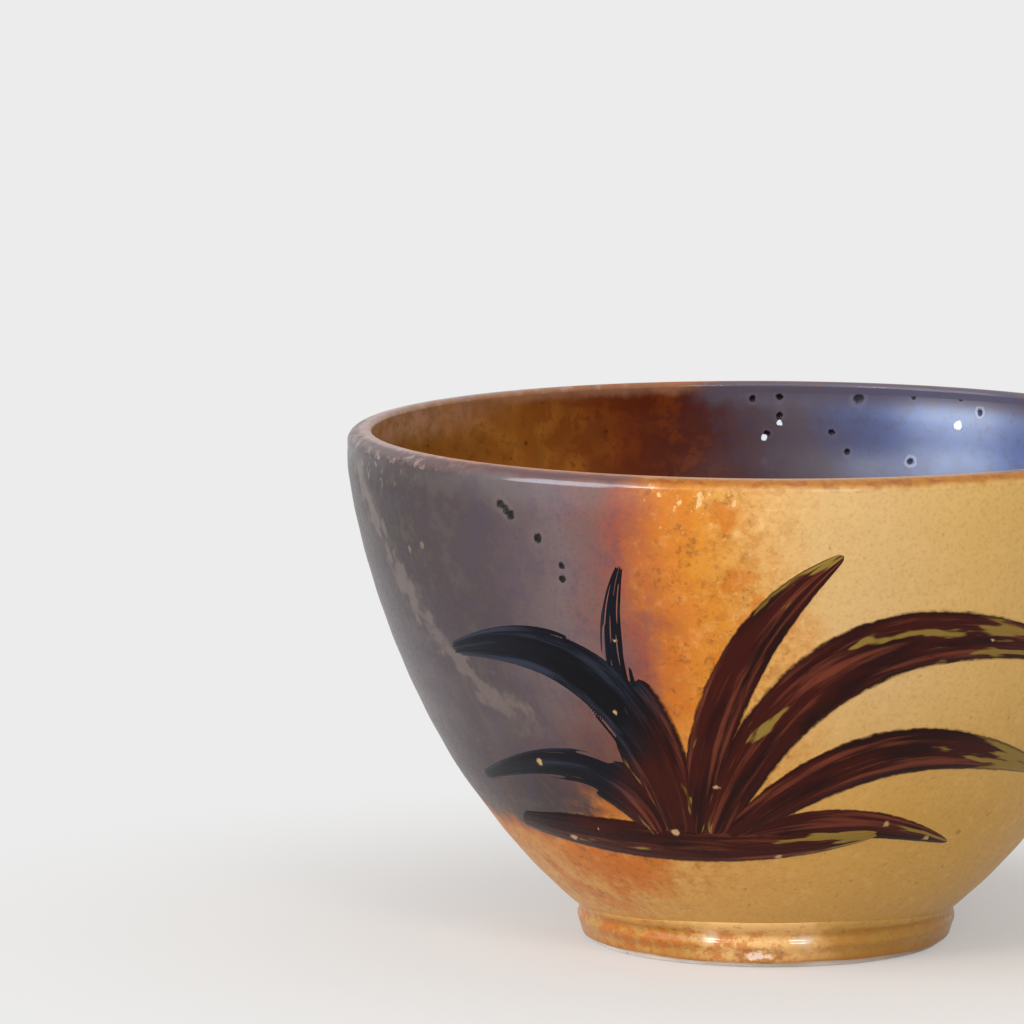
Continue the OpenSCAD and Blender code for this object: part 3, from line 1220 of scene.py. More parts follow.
@dataclass(frozen=True)
class SlateOutsideFinish(Finish):
    """Satin slate glaze poured over the outside, with burst bubbles and two specks of ash in it."""

    name: str = "slate_glaze_outside"
    pits: tuple[Pit, ...] = (
        Pit((-38.9, -47.2, 70.0), 0.85), Pit((-38.2, -47.8, 69.3), 0.8), Pit((-37.6, -48.3, 68.6), 0.85),
        Pit((-33.7, -50.4, 65.6), 0.85), Pit((-30.3, -51.6, 62.0), 0.6), Pit((-30.2, -51.2, 60.0), 0.68))
    dots: tuple[Pit, ...] = (Pit((-51.8, -29.7, 61.3), 0.62), Pit((-50.0, -33.0, 62.3), 0.62))

    def look(self, wiring: Wiring) -> Look:
        """The outside's colours with the bubbles and the ash; see Finish.look."""
        glaze = self.kiln.of_outside(wiring)
        glaze = self.kiln.pitted(wiring, glaze, self.pits, tone(12, 4, 3), tone(150, 136, 130))
        ash = ((self.kiln.burst(wiring, dot)["Mask"] * 0.32, tone(156, 138, 108)) for dot in self.dots)
        return replace(glaze, color=wiring.lay(glaze.color, *ash))


@dataclass(frozen=True)
class FootCoatFinish(Finish):
    """Second coat of amber round the foot: rusty patches, one place missed, glassy where it pooled."""

    name: str = "amber_foot_coat"
    miss: Pit = Pit((-0.9, -26.9, 2.9), 1.2)
    pools: tuple[Pit, ...] = (Pit((-8.3, -25.6, 4.9), 2.6), Pit((4.5, -26.6, 4.4), 2.4))

    def look(self, wiring: Wiring) -> Look:
        """Rust in patches and towards the lower edge, painted shade low down, and pale painted highlights in
        the glassy pools; see Finish.look.
        """
        glaze, noise, height = self.kiln.of_outside(wiring), wiring.noise, wiring.height()
        patch = noise(2.2, 6.0, 0.7).step(0.45, 0.57)
        left = wiring.mark("slate_reach").step(-46.0, -22.0, 0.3, 1.0)
        # Below the crease the amber is multiplied darker: painted shade under the bowl's flare, since this
        # coat has the wall's own ochre.
        foot = height.step(6.6, 4.6)
        shaded_foot_tone = wiring.blend(0.8, glaze.color, tone(228, 222, 210), "MULTIPLY")
        # Round the front middle of the foot the colour turns lighter: partly a lighter glaze, partly painted
        # light.
        middle = wiring.gap((-1.5, -27.0, 5.0)).swayed(2.5, 3.0, 4.0)
        flat = wiring.vector("MULTIPLY", wiring.bent(0.9, 4.0, 3.0), (0.55, 1.0, 1.5))
        bare = self.kiln.burst(wiring, self.miss, place=flat)
        color = wiring.lay(
            glaze.color,
            (foot, shaded_foot_tone),
            (middle.step(13.0, 5.0, 0.0, 0.85), tone(232, 186, 120)),
            (patch * left * foot * 0.8, tone(180, 98, 28)),
            (height.swayed(2.5, 0.5).step(2.2, 0.9) * 0.4, tone(170, 98, 36)),
            (noise(0.9, 4.0, 0.75).step(0.56, 0.62) * (left * 0.4), tone(120, 66, 22)),
            (bare["Ring"] * 0.5, tone(140, 80, 40)),
            (bare["Mask"], tone(236, 208, 192)))
        coat = 0.0
        # Each pool has a glassy coat, and its pale tint is a painted highlight.
        for pool in self.pools:
            away = wiring.gap(pool.place).swayed(1.2, 0.6)
            pool_glint = away.step(pool.radius * 0.8, pool.radius * 0.3, 0.0, 0.5)
            color = wiring.blend(pool_glint, color, tone(232, 212, 184))
            coat = away.step(pool.radius, pool.radius * 0.6).at_least(coat)
        return Look(color, noise(1.0, 3.0).step(0.3, 0.7, 0.26, 0.38), noise(1.8, 2.0) * 0.06, coat)


@dataclass(frozen=True)
class LipFinish(Finish):
    """Iron glaze over the lip, which breaks pale along the crest and joins both pours."""

    name: str = "iron_lip_glaze"
    gloss: ClassVar[float] = 0.17

    def look(self, wiring: Wiring) -> Look:
        """From the outside's colours over rust and the pale crest to the inside's; see Finish.look."""
        noise, blend = wiring.noise, wiring.blend
        over = wiring.mark("over_lip").swayed(2.5, 0.09, 4.0)
        reach, within = wiring.mark("slate_reach"), wiring.mark("inner_reach")
        outer, inner = self.kiln.of_outside(wiring), self.kiln.of_inside(wiring)
        slate = reach.step(-3.0, 4.0)
        rust = blend(noise(1.6, 5.0, 0.65).step(0.46, 0.62), tone(162, 96, 20), tone(136, 68, 12))
        dull = blend(reach.step(28.0, 44.0), tone(92, 66, 66), tone(96, 82, 82))
        worn = blend(reach.step(32.0, 50.0), tone(156, 96, 62), tone(158, 130, 122))
        crest = blend(within.step(-4.0, 3.0), blend(slate, tone(176, 124, 78), worn), tone(104, 88, 92))
        chalk = noise(2.0, 4.0, 0.6).step(0.5, 0.64, 0.0, 0.4) * reach.step(24.0, 38.0)
        color = wiring.lay(
            outer.color,
            (over.step(0.0, 0.3, 0.0, 0.85), blend(slate, rust, dull)),
            (over.step(0.44, 0.62), crest),
            (over.step(0.78, 0.98), inner.color),
            (chalk, tone(176, 152, 140)),
            (noise(1.2, 4.0).step(0.45, 0.75) * 0.3, tone(124, 76, 40)))
        coat = outer.coat
        for share, target in ((over.step(0.12, 0.34), 0.02), (over.step(0.8, 1.0), inner.coat)):
            towards = target - coat
            coat = wiring.math("MULTIPLY_ADD", share, towards, coat)
        return Look(color, noise(0.8).step(0.3, 0.7, 0.3, 0.38), outer.height, coat)


@dataclass(frozen=True)
class BrownFinish(Finish):
    """Glossy brown glaze of the inside."""

    name: str = "brown_glaze"
    gloss: ClassVar[float] = 0.07
    coat_roughness: ClassVar[float] = 0.26

    def look(self, wiring: Wiring) -> Look:
        """The inside's colours as they are."""
        return self.kiln.of_inside(wiring)


@dataclass(frozen=True)
class SlateInsideFinish(Finish):
    """Slate-blue glaze poured over the inside, full of burst bubbles."""

    name: str = "slate_glaze_inside"
    gloss: ClassVar[float] = 0.12
    coat_roughness: ClassVar[float] = 0.26
    coat_index: ClassVar[float] = 1.9
    pits: tuple[Pit, ...] = (
        Pit((-0.9, 57.8, 72.5), 0.6), Pit((3.3, 57.7, 72.8), 0.62), Pit((15.3, 55.7, 72.8), 0.9, 0.75, 0.1),
        Pit((23.5, 52.8, 73.6), 0.6), Pit((30.5, 49.1, 73.6), 0.5), Pit((33.4, 47.1, 71.8), 0.55, 0.5, 0.6),
        Pit((3.3, 57.5, 69.9), 0.6), Pit((1.4, 57.2, 67.3), 0.55), Pit((11.3, 56.2, 67.6), 0.62),
        Pit((13.6, 55.3, 64.7), 0.62), Pit((23.1, 51.8, 63.7), 0.6, 0.7, 0.6), Pit((1.0, 57.0, 63.0), 0.45))
    glint_blisters: tuple[Pit, ...] = (
        Pit((3.4, 57.4, 68.8), 0.55), Pit((0.9, 57.1, 66.6), 0.6), Pit((30.2, 49.0, 69.5), 0.85))

    def look(self, wiring: Wiring) -> Look:
        """The inside's colours with holes, and three small raised blisters painted with pale glints; see
        Finish.look.
        """
        glaze = self.kiln.of_inside(wiring)
        glaze = self.kiln.pitted(wiring, glaze, self.pits, tone(22, 10, 10), tone(150, 152, 172))
        color, height = glaze.color, glaze.height
        # Each blister is raised a little, and its pale colour is a painted glint.
        for bead in self.glint_blisters:
            bubble = self.kiln.burst(wiring, bead)["Mask"]
            color, height = wiring.blend(bubble * 0.9, color, tone(236, 240, 250)), height + bubble * 0.2
        return replace(glaze, color=color, height=height)


@dataclass(frozen=True)
class ClayFinish(Finish):
    """Bare stoneware, sandy and matte, a little toasted where it meets the glaze."""

    name: str = "bare_stoneware"

    def look(self, wiring: Wiring) -> Look:
        """Sand grains in a pale body; see Finish.look."""
        noise = wiring.noise
        color = wiring.lay(
            wiring.blend(noise(7.0, 4.0).step(0.35, 0.7), tone(244, 236, 226), tone(228, 212, 196)),
            (wiring.height().step(0.5, 1.0, 0.0, 0.4), tone(204, 150, 104)),
            (self.kiln.specks(wiring, 1.1, 0.22, 0.5) * 0.5, tone(120, 92, 70)))
        return Look(color, noise(0.8).step(0.3, 0.7, 0.78, 0.92), noise(0.3, 3.0, 0.6) * 0.06)


@dataclass(frozen=True)
class WellFinish(Finish):
    """Thin amber glaze wiped over the roof of the foot's well."""

    name: str = "amber_well_glaze"

    def look(self, wiring: Wiring) -> Look:
        """From thin and pale glaze to thick and rusty; see Finish.look."""
        thick = wiring.noise(8.0, 5.0, 0.6)
        color = wiring.ramp(thick, (0.3, 222, 190, 140), (0.45, 212, 166, 98), (0.58, 196, 130, 64),
                            (0.75, 150, 84, 40))
        color = wiring.blend(self.kiln.specks(wiring, 2.2, 0.4, 0.6) * 0.6, color, tone(96, 56, 24))
        return Look(color, thick.step(0.3, 0.7, 0.42, 0.24), thick * 0.1)


@dataclass(frozen=True)
class BrushedFinish(Finish):
    """Iron glaze brushed on in strokes: indigo over the slate, maroon over the amber."""

    name: str = "brushed_iron"
    gloss: ClassVar[float] = 0.12

    def look(self, wiring: Wiring) -> Look:
        """Colour streaked along each stroke, with a frayed margin; see Finish.look."""
        noise, ground = wiring.noise, self.kiln.of_outside(wiring)
        stroke = tuple(wiring.mark(f"stroke_{name}") for name in ("along", "across", "number"))
        hair, wide = (wiring.make("CombineXYZ", {k: stroke[k] * scales[k] for k in range(3)})
                      for scales in ((0.045, 2.6, 7.3), (0.06, 1.1, 3.1)))
        slate = wiring.mark("slate_reach").swayed(6.0, 2.0).step(-4.0, 5.0)
        body, light, dark = (wiring.blend(slate, tone(*maroon), tone(*indigo)) for maroon, indigo in (
            ((56, 13, 6), (10, 11, 20)), ((126, 62, 42), (50, 56, 72)), ((26, 4, 3), (4, 4, 8))))
        streak = noise(1.0, 4.0, 0.6, hair).step(0.48, 0.7)
        shade = noise(1.0, 2.0, place=wide).step(0.56, 0.38)

        # The brush runs dry towards the tip, and skips here and there, where the amber shows olive
        dry = wiring.mark("stroke_dryness") * 0.2
        skip = (noise(0.8, 3.0, place=wide) + dry).step(0.63, 0.68) * slate.step(0.9, 0.3)
        rim = wiring.math("ABSOLUTE", stroke[1])
        edge = (rim + wiring.sway(0.35, 0.04, 3.0, hair)).swayed(1.1, 0.035, 5.0)
        fray = edge.step(0.86, 0.98)
        color = wiring.lay(
            body, (shade * 0.8, dark), (streak * 0.65, light), (skip * 0.85, tone(142, 116, 50)),
            (edge.step(0.72, 0.86, 0.0, 0.7), dark), (fray, ground.color),
            (self.kiln.specks(wiring, 5.0, 0.62, 0.5) * 0.75, tone(204, 166, 118)))
        rough = streak.step(0.0, 1.0, 0.26, 0.38).at_least(fray * 0.36)
        return Look(color, rough, noise(1.0, 3.0, place=hair) * 0.1 + ground.height)


# Pieces


@dataclass
class Coat(ABC):
    """A piece of the bowl that stands for one CAD node.

    Attributes:
        name: Name of the piece.
        node: The CAD node.
        slot: The record's material slot; not used.
        surface: The glazed surface.
        decor: Where the pours lie.
        finish: The piece's surface.
        tuck: How far the back of a thin coat lies under the glaze that it covers.
    """

    name: str
    node: str
    slot: Slot
    surface: ThrownSurface
    decor: Decor
    finish: Finish
    tuck: ClassVar[float] = 0.12

    @abstractmethod
    def skins(self) -> list[Skin]:
        """Closed skins of the piece."""

    def build(self) -> bpy.types.Object:
        """Make the piece, dress it and put it in its CAD node's place.

        Returns:
            The piece.
        """
        piece = mesh_object(self.name, self.skins())
        piece.data.materials.append(self.finish.material())
        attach(piece, BODY)
        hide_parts(self.node)
        log.info("%s: %d faces, stands for %s", self.name, len(piece.data.polygons), self.node)
        return piece

    @staticmethod
    def round(count: int) -> Array:
        """Angles all the way round, one row each."""
        return np.linspace(0.0, TURN, count, endpoint=False)[:, None]


@dataclass
class OutsideGlaze(Coat):
    """Amber glaze from the bare foot to the lip's shoulder."""

    around: int = 480
    start: float = 0.1
    bead: float = 1.0

    def skins(self) -> list[Skin]:
        """One skin: up the glazed side and back down against the clay, its foot rounded to a bead."""
        sizes, path = self.surface.sizes, self.surface.path
        theta = self.round(self.around)
        s = path.stations(self.start, path.shoulder, 0.75)[None]
        roll = sizes.glaze_t * (1 - np.sqrt(1 - (1 - np.clip((s - self.start) / self.bead, 0, 1)) ** 2))
        outer = self.surface.place(theta, s, -roll)
        back = path.stations(self.start, path.shoulder, 4.0)[None, ::-1]
        inner = self.surface.place(theta, back, -sizes.glaze_t - 0.02, dented=False)
        marks = self.decor.marks(theta, np.concatenate([s, back], 1))
        return [Skin(np.concatenate([outer, inner], 1), marks)]


@dataclass
class LipGlaze(Coat):
    """Iron glaze over the shoulder, the crest and the inner edge of the lip."""

    around: int = 480

    def skins(self) -> list[Skin]:
        """One skin, over the lip and back under it against the clay."""
        sizes, path = self.surface.sizes, self.surface.path
        theta = self.round(self.around)
        s = path.stations(path.shoulder, path.inner_edge, 0.3, 4.0)[None]
        back = path.stations(path.shoulder, path.inner_edge, 1.0, 12.0)[None, ::-1]
        both = np.concatenate([s, back], 1)
        points = np.concatenate([self.surface.place(theta, s),
                                 self.surface.place(theta, back, -sizes.glaze_t, dented=False)], 1)
        over = (both - path.shoulder) / (path.inner_edge - path.shoulder)
        marks = {**self.decor.marks(theta, both), **self.decor.inner_marks(theta, both),
                 "over_lip": np.broadcast_to(over, points.shape[:2])}
        return [Skin(points, marks)]


@dataclass
class InsideGlaze(Coat):
    """Brown glaze over the inside wall, the floor and the tea pool."""

    around: int = 420

    def skins(self) -> list[Skin]:
        """One skin, from the middle of the floor up to the lip and back under it to the middle."""
        sizes, path = self.surface.sizes, self.surface.path
        theta = self.round(self.around).T
        s = path.stations(path.inner_edge, path.middle, 0.8)[::-1, None]
        back = path.stations(path.inner_edge, path.middle, 4.0)[:, None]
        points = np.concatenate([self.surface.place(theta, s),
                                 self.surface.place(theta, back, -sizes.glaze_t, dented=False)])
        return [Skin(points, self.decor.inner_marks(theta, np.concatenate([s, back])), loop=False)]


@dataclass
class FootCoat(Coat):
    """Second coat round the foot, whose rolled upper edge lies in a tilted plane."""

    around: int = 420
    across: int = 56
    roll: float = 1.5
    hem_roll: float = 0.7
    pooled: float = 0.65
    search: float = 16.0
    fine: int = 1600
    dip: float = 0.03

    def upper_edge(self, theta: Array) -> Array:
        """Length along the path at which the coat ends.

        Args:
            theta: Angles round the centre line, one row each.

        Returns:
            For each angle, where the surface first rises through the tilted plane, whose height falls
            by the tangent of the tilt for each millimetre towards the back.
        """
        sizes, path = self.surface.sizes, self.surface.path
        s = np.linspace(0.0, self.search, self.fine)[None]
        r, z, _, _ = path.at(s)
        plane = sizes.coat_h - math.tan(math.radians(sizes.coat_tilt)) * r * np.sin(theta)
        return s[0, np.argmax(z > plane, axis=1)][:, None]

    def skins(self) -> list[Skin]:
        """One skin, rounded off at both edges and a little uneven, and thicker where it pooled in front.

        The pool is a bell along the path about the crease, as deep as the coat reaches above it.
        """
        sizes = self.surface.sizes
        theta = self.round(self.around)
        share = (1 - np.cos(np.pi * np.linspace(0.0, 1.0, self.across)))[None] / 2
        hem = 0.18 + 0.1 * np.sin(5 * theta + 1.0) + 0.06 * np.sin(13 * theta)
        top = self.upper_edge(theta) + 0.12 * np.sin(4 * theta + 0.6) + 0.08 * np.sin(9 * theta)
        s = hem + (top - hem) * share
        near = np.clip(np.minimum((s - hem) / self.hem_roll, (top - s) / self.roll), 0, 1)
        crease = self.surface.path.crease - 0.3
        pool = self.pooled * smooth_step(top - crease, 0.3, 3.0) * np.exp(-(((s - crease) / 0.95) ** 2))
        lift = -self.dip + (sizes.coat_t + self.dip + pool) * np.sqrt(1 - (1 - near) ** 2)
        points = np.concatenate([self.surface.place(theta, s, lift),
                                 self.surface.place(theta, s[:, ::-1], -self.tuck)], 1)
        return [Skin(points, self.decor.marks(theta, there_and_back(s)))]


@dataclass
class SlatePour(Coat):
    """Slate glaze poured over one side, thinning out to nothing along its edge."""

    outline: PourOutline
    along: int = 380
    across: int = 90
    feather: float = 5.0
    dip: float = 0.02
    crowding: float = 1.2

    def skins(self) -> list[Skin]:
        """One skin: straight lines fan from the pour's edge to the lip, and go back just under the glaze.

        The lift rises smoothly with the distance from the edge and from the lip.
        """
        surface, outline = self.surface, self.outline
        line = outline.line(self.along)
        share = np.linspace(0.0, 1.0, self.across)[None] ** self.crowding
        angle_top = np.linspace(line[0, 0], line[-1, 0], self.along)[:, None]
        theta = outline.theta(line[:, :1] + (angle_top - line[:, :1]) * share)
        s = line[:, 1:] + (outline.top - line[:, 1:]) * share
        edge = np.abs(outline.reach(theta, s))
        gaps = (edge, np.abs(s - outline.top))
        thick = math.prod(smooth_step(gap, 0.0, self.feather) for gap in gaps)
        lift = -self.dip + (surface.sizes.pour_t + self.dip) * thick
        under = slice(None, None, -3)
        points = np.concatenate([surface.place(theta, s, lift),
                                 surface.place(theta[:, under], s[:, under], -self.tuck)], 1)
        both = there_and_back(theta, 3), there_and_back(s, 3)
        marks = self.decor.inner_marks(*both) if outline.within else self.decor.marks(*both)
        return [Skin(points, marks, loop=False)]


@dataclass
class WellGlaze(Coat):
    """Glaze over the roof of the foot's well and over its turned nub."""

    around: int = 160
    rings: int = 60
    side_gap: float = 0.05
    groove: float = 0.03
    groove_step: float = 2.4

    def skins(self) -> list[Skin]:
        """One skin: a smooth step down to the nub from a flat roof, and back against the clay."""
        sizes = self.surface.sizes
        theta = self.round(self.around).T
        r = np.concatenate([[0.0], np.linspace(0.4, sizes.well_top_r - self.side_gap, self.rings)])[:, None]
        nub = smooth_step(r, sizes.nub_r, sizes.nub_end_r) * sizes.nub_h
        ripple = self.groove * np.sin(TURN * r / self.groove_step + theta)
        low = sizes.well_h - nub - sizes.well_glaze_t + self.groove + ripple
        high = sizes.well_h + 0.0 * r[::-1] - nub[::-1]
        return [Skin(np.concatenate([turned(r, low, theta), turned(r[::-1], high, theta)]), loop=False)]


@dataclass
class FootRing(Coat):
    """Bare clay ring that the bowl stands on, turned, with worn standing edges."""

    around: int = 300
    side_points: int = 14
    worn_points: int = 5
    flat_points: int = 16
    well_points: int = 12
    groove: float = 0.02

    def skins(self) -> list[Skin]:
        """One skin: the ring's outline with turning grooves on its standing face and in the well."""
        sizes = self.surface.sizes
        worn = sizes.foot_chamfer
        z = np.linspace(worn, sizes.foot_h, self.side_points)
        side = sizes.foot_side(z, -sizes.glaze_t)
        turn = np.linspace(0.0, np.pi / 2, self.worn_points)[1:-1]
        inwards, up = worn * (1 - np.sin(turn)), worn * (1 - np.cos(turn))
        flat = np.linspace(sizes.well_r + worn, side[0] - worn, self.flat_points)
        stand = self.groove * (1 - np.cos(TURN * np.arange(self.flat_points) / 3))
        well = np.linspace([sizes.well_top_r, sizes.foot_h], [sizes.well_r, worn], self.well_points)
        outline = np.concatenate([well] + [np.stack(part, 1) for part in (
            (sizes.well_r + inwards, up), (flat, stand), (side[0] - inwards, up), (side, z))])
        return [Skin(turned(outline[None, :, 0], outline[None, :, 1], self.round(self.around)))]


@dataclass(frozen=True)
class Blade:
    """One stroke of the tuft, as seen from the front.

    Attributes:
        root: Distance of its root from the tuft's middle.
        bends: The two points that bend it, in x and in height above the root.
        tip: Its tip.
        width: Its full width.
        lift: How high its middle stands above the glaze; later strokes lie over earlier ones.
    """

    root: float
    bends: tuple[tuple[float, float], tuple[float, float]]
    tip: tuple[float, float]
    width: float
    lift: float

    def curve(self, tuft_x: float, root_h: float) -> Cubic:
        """The blade's middle line."""
        points = [(x, h + root_h) for x, h in (*self.bends, self.tip)]
        return Cubic(((tuft_x + self.root, root_h), *points))

    def half_width(self, t: Array) -> Array:
        """Half the blade's width, which swells from the root and runs out to a tip.

        Args:
            t: Shares of the way along the blade.

        Returns:
            The width times 0.04 and times half of (1 - t)^0.8 (0.35 + 2.2 t).
        """
        return self.width * (0.04 + (1 - t) ** 0.8 * (0.35 + 2.2 * t) / 2)


@dataclass
class BrushedGrass(Coat):
    """Tuft of arching grass, brushed on in raised strokes that lie over one another."""

    tuck: ClassVar[float] = 0.1
    along: int = 150
    across: int = 26
    tuft_x: float = -12.0
    dip: float = 0.03
    blades: tuple[Blade, ...] = (
        Blade(3, ((-2, 24), (16, 40)), (46, 24), 11, 0.33),
        Blade(5, ((7, 13), (21, 19)), (40, 7), 8.5, 0.31),
        Blade(1, ((-11, 18), (-5, 34)), (9, 43), 8, 0.29),
        Blade(-1, ((-18, 21), (-31, 34)), (-47, 25), 13, 0.34),
        Blade(-4, ((-21, 11), (-32, 14)), (-42, 5), 9, 0.32),
        Blade(6, ((4, 3), (14, 4)), (25, -2), 5.5, 0.28),
        Blade(-2, ((-21, 18), (-26, 31)), (-22, 42), 7, 0.3),
        Blade(-24, ((-26, 0), (-6, -3)), (16, 1), 7, 0.35))

    def skins(self) -> list[Skin]:
        """One skin for each stroke."""
        return [self._stroke(number, blade) for number, blade in enumerate(self.blades)]

    def _stroke(self, number: int, blade: Blade) -> Skin:
        """One stroke, a strip along the blade's middle line that is laid on the wall.

        Args:
            number: Number of the stroke.
            blade: The blade.

        Returns:
            The skin. Its lift is a rounded crown across the stroke with bristle ridges along it, which
            dips under the glaze at the margin, and the strip's x and z give its place on the wall.
        """
        surface = self.surface
        t = (1 - np.cos(np.pi * np.linspace(0.0, 1.0, self.along))) / 2
        u = np.sin(np.pi / 2 * np.linspace(-1.0, 1.0, self.across))[None]
        curve = blade.curve(self.tuft_x, surface.sizes.root_h)
        ends = np.sqrt(smooth_step(t, 0.0, 0.03) * smooth_step(t, 1.0, 0.985))
        half = (blade.half_width(t) * ends)[:, None]
        middle, square = curve.points(t), curve.right_of(t)
        x = middle[:, :1] + half * u * square[:, :1]
        z = middle[:, 1:] + half * u * square[:, 1:]
        s = surface.path.outside_at(z)
        r = surface.path.at(s)[0]
        theta = -np.arccos(np.clip(x / r, -1, 1))
        bristles = 0.03 * np.sin(6.5 * np.pi * u + 3 * np.sin(5 * t + number)[:, None])
        fade = np.sqrt(smooth_step(t, 0.0, 0.02) * smooth_step(t, 1.0, 0.95))
        crown = (1 - np.abs(u) ** 3.5) * fade[:, None]
        lift = -self.dip + (blade.lift - self.dip + bristles) * crown
        points = np.concatenate([surface.place(theta, s, lift),
                                 surface.place(theta[:, ::-1], s[:, ::-1], -self.tuck)], 1)
        length = run_along(middle)[:, None]
        flat = np.ones((1, 2 * self.across))
        marks = self.decor.marks(there_and_back(theta), there_and_back(s))
        marks["stroke_along"] = length * flat
        marks["stroke_across"] = there_and_back(u) * np.ones_like(length)
        marks["stroke_number"] = number * flat * np.ones_like(length)
        marks["stroke_dryness"] = smooth_step(t, 0.55, 1.0)[:, None] * flat
        return Skin(points, marks, loop=False)


# Studio


@dataclass(frozen=True)
class Lamp:
    """Soft rectangular lamp that looks at the bowl.

    Attributes:
        azimuth: Degrees round from the front, positive towards the right.
        elevation: Degrees above level.
        distance: Metres from the bowl.
        size: Width and height in metres.
        brightness: How bright its face looks, where 1 is white.
        tint: Colour.
    """

    azimuth: float
    elevation: float
    distance: float
    size: tuple[float, float]
    brightness: float
    tint: tuple[float, float, float] = (1.0, 1.0, 1.0)

    def build(self, name: str, aim: Vector) -> bpy.types.Object:
        """Make the lamp.

        Args:
            name: Name of the lamp.
            aim: Point that it faces.

        Returns:
            The lamp.
        """
        data = bpy.data.lights.new(name, "AREA")
        data.shape = "RECTANGLE"
        data.size, data.size_y = self.size
        data.energy = 4 * self.size[0] * self.size[1] * self.brightness
        data.color = self.tint
        lamp = placed(name, data)
        around, up = math.radians(self.azimuth), math.radians(self.elevation)
        away = Vector((math.sin(around) * math.cos(up), -math.cos(around) * math.cos(up), math.sin(up)))
        lamp.location = aim + away * self.distance
        lamp.rotation_euler = away.to_track_quat("Z", "Y").to_euler()
        lamp.visible_camera = False
        return lamp


@dataclass(frozen=True)
class Camera:
    """Camera of the photograph, found by fitting one pinhole to the bowl's outlines."""

    lens: float = 310.5
    sensor: float = 36.0
    place: tuple[float, float, float] = (-0.0374, -1.27821, 0.23106)
    down: float = 7.505
    roll: float = 0.121

    def build(self) -> bpy.types.Object:
        """Make the camera and give it to the scene.

        Returns:
            The camera.
        """
        data = bpy.data.cameras.new("photo_camera")
        data.lens, data.sensor_width = self.lens, self.sensor
        data.clip_start, data.clip_end = 0.05, 60.0
        camera = placed("photo_camera", data)
        down, roll = (Matrix.Rotation(math.radians(angle), 4, axis)
                      for angle, axis in ((90 - self.down, "X"), (self.roll, "Z")))
        camera.matrix_world = Matrix.Translation(self.place) @ (down @ roll)
        bpy.context.scene.camera = camera
        return camera


@dataclass(frozen=True)
class Studio:
    """Pale floor, soft lamps and plain surroundings."""

    floor_r: float = 14.0
    floor_sides: int = 96
    floor_gap: float = 0.00002
    # The lit floor is warm: partly the paper's tone, partly painted warm light thrown back from the bowl.
    floor_tone_and_bounce: tuple[tuple[float, ...], ...] = ((0.70, 0.65, 0.60, 1.0), (0.72, 0.67, 0.62, 1.0))
    paper: tuple[float, float, float, float] = tone(236, 236, 236)
    sky: float = 0.45
    lamps: tuple[tuple[str, Lamp], ...] = (
        ("tall_window", Lamp(-60.5, 24.0, 1.3, (0.7, 1.1), 3.6, (0.82, 0.9, 1.0))),
        ("left_pane", Lamp(-35.3, 30.0, 1.7, (0.32, 0.5), 10.0)),
        ("right_pane", Lamp(18.0, 30.0, 1.7, (0.32, 0.5), 9.0)),
        ("front_window", Lamp(-10.0, 40.0, 1.5, (0.8, 0.4), 2.5)),
        ("ceiling", Lamp(-30.0, 66.0, 1.5, (1.2, 1.2), 0.8, (1.0, 0.97, 0.92))))

    def build(self) -> None:
        """Make the floor, the surroundings and the lamps."""
        self._floor()
        self._world()
        for name, lamp in self.lamps:
            lamp.build(name, Vector((0.0, 0.0, 0.04)))
        bpy.context.scene.view_settings.view_transform = "Standard"

    def _seen(self, wiring: Wiring) -> Signal:
        """Tell the rays that show the surroundings from those that only light them.

        Args:
            wiring: Short forms for the tree's nodes.

        Returns:
            1 for rays to the camera, off gloss or through glass, and otherwise 0.
        """
        camera, gloss, glass = (wiring.make("LightPath", output=f"Is {kind} Ray")
                                for kind in ("Camera", "Glossy", "Transmission"))
        return camera.at_least(gloss.at_least(glass))

    def _floor(self) -> None:
        """Flat floor that keeps the shadow near the bowl and is plain paper further out."""
        mesh = bpy.data.meshes.new("floor")
        angle = np.linspace(0.0, TURN, self.floor_sides, endpoint=False)
        edge = np.stack([np.cos(angle), np.sin(angle), 0 * angle], 1) * self.floor_r
        mesh.from_pydata(edge - [0.0, 0.0, self.floor_gap], [], [list(range(self.floor_sides))])
        floor = placed("floor", mesh)
        made = bpy.data.materials.new("pale_floor")
        wiring = Wiring.afresh(made)
        wiring.place = wiring.make("TexCoord", output="Object")
        away = wiring.make("VectorMath", {0: wiring.place}, "Value", operation="LENGTH")
        # The floor's warm colour partly paints the bowl's warm bounce light.
        lit = wiring.make("BsdfDiffuse", {"Color": wiring.blend(wiring.noise(0.02, 3.0), *self.floor_tone_and_bounce)})
        paper = wiring.make("Emission", {"Color": self.paper, "Strength": 1.0})
        share = self._seen(wiring) * away.step(0.055, 0.15, 0.4, 1.0)
        shown = wiring.make("MixShader", {0: share, 1: lit, 2: paper})
        below = wiring.make("NewGeometry", output="Backfacing")
        both = wiring.make("MixShader", {0: below, 1: shown, 2: wiring.make("BsdfTransparent")})
        wiring.node("OutputMaterial", {"Surface": both})
        mesh.materials.append(made)
        floor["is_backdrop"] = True

    def _world(self) -> None:
        """Even pale light all round, which looks like the paper where it is seen."""
        world = bpy.data.worlds.new("plain_room")
        bpy.context.scene.world = world
        wiring = Wiring.afresh(world)
        light, seen = (wiring.make("Background", {"Color": color, "Strength": strength})
                       for color, strength in (((1.0, 1.0, 1.0, 1.0), self.sky), (self.paper, 1.0)))
        mixed = wiring.make("MixShader", {0: self._seen(wiring), 1: light, 2: seen})
        wiring.node("OutputWorld", {"Surface": mixed})


# The bowl


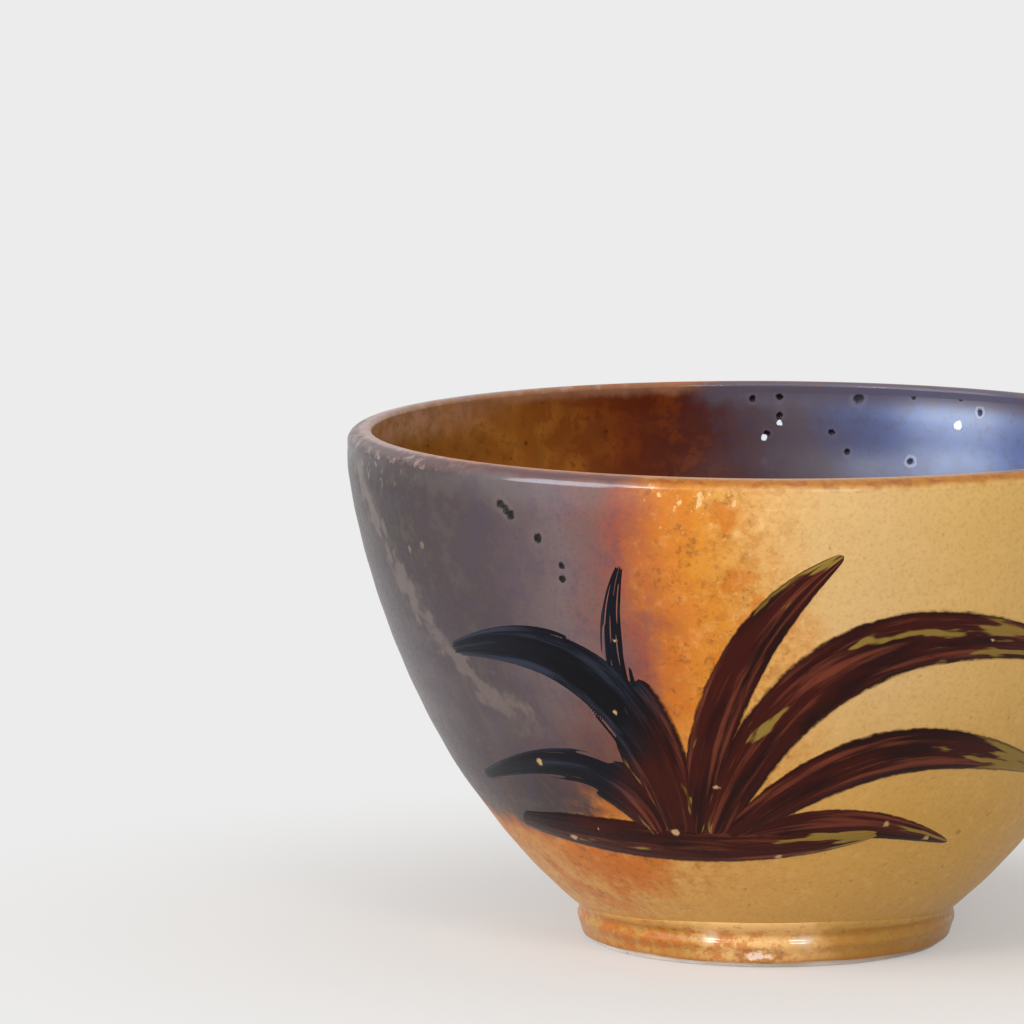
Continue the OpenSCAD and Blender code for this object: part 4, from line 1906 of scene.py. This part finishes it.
@dataclass(frozen=True)
class MatchaBowl:
    """The whole bowl.

    Attributes:
        sizes: Its sizes.
        slate_out: Front and back edge of the pour over the left of the outside, in x and z.
        slate_in: Front and back edge of the pour over the right of the inside.
    """

    sizes: BowlSizes = BowlSizes()
    slate_out: tuple[Cubic, Cubic] = (
        Cubic(((-21.5, 80), (-15, 52), (-8, 14), (-50, 22))),
        Cubic(((14, 80), (4, 50), (-14, 22), (-50, 22))))
    slate_in: tuple[Cubic, Cubic] = (
        Cubic(((30, 80), (30, 52), (34, 36), (60, 38))),
        Cubic(((-6, 80), (-8, 58), (6, 34), (60, 38))))

    def build(self) -> list[bpy.types.Object]:
        """Build every piece in the order in which the potter makes it.

        Returns:
            The pieces.
        """
        surface = ThrownSurface(self.sizes, GlazePath(self.sizes))
        outer = PourOutline(surface, *self.slate_out, side=-1, within=False)
        inner = PourOutline(surface, *self.slate_in, side=1, within=True)
        decor, kiln = Decor(outer, inner), KilnEffects.build()
        self._dress_body(ClayFinish(kiln))
        turned_clay = ClayFinish(kiln, "turned_stoneware")
        coats = (
            (FootRing, "foot_ring_turned", "foot_ring", Slot.STONEWARE, turned_clay),
            (OutsideGlaze, "outside_coat", "outside_glaze", Slot.AMBER, AmberFinish(kiln)),
            (InsideGlaze, "inside_coat", "inside_glaze", Slot.BROWN, BrownFinish(kiln)),
            (LipGlaze, "lip_coat", "lip_glaze", Slot.IRON, LipFinish(kiln)),
            (WellGlaze, "well_coat", "well_glaze", Slot.AMBER, WellFinish(kiln)),
            (FootCoat, "foot_dip", "foot_coat", Slot.AMBER, FootCoatFinish(kiln)),
            (SlatePour, "slate_pour_out", "slate_pour_outside", Slot.SLATE, SlateOutsideFinish(kiln), outer),
            (SlatePour, "slate_pour_in", "slate_pour_inside", Slot.SLATE, SlateInsideFinish(kiln), inner),
            (BrushedGrass, "grass_tuft", "brushed_grass", Slot.BRUSHED, BrushedFinish(kiln)))
        return [coat(name, node, slot, surface, decor, finish, *more).build()
                for coat, name, node, slot, finish, *more in coats]

    @staticmethod
    def _dress_body(finish: Finish) -> None:
        """Give the CAD body, which the coats cover all over, its bare clay."""
        body = frame["nodes"]["bowl_body"]
        material = finish.material()
        if not body.material_slots:
            body.data.materials.append(material)
        for slot in body.material_slots:
            slot.material = material
        log.info("bowl_body: CAD solid in bare stoneware")


def corners() -> list[list[float]]:
    """Lowest and highest corner of the shown object as plain lists."""
    return [list(corner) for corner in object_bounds()]


def main() -> None:
    """Build the bowl and the studio."""
    logging.basicConfig(level=logging.INFO, format="%(message)s")
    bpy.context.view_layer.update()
    Camera().build()
    MatchaBowl().build()
    Studio().build()


if __name__ == "__main__":
    main()
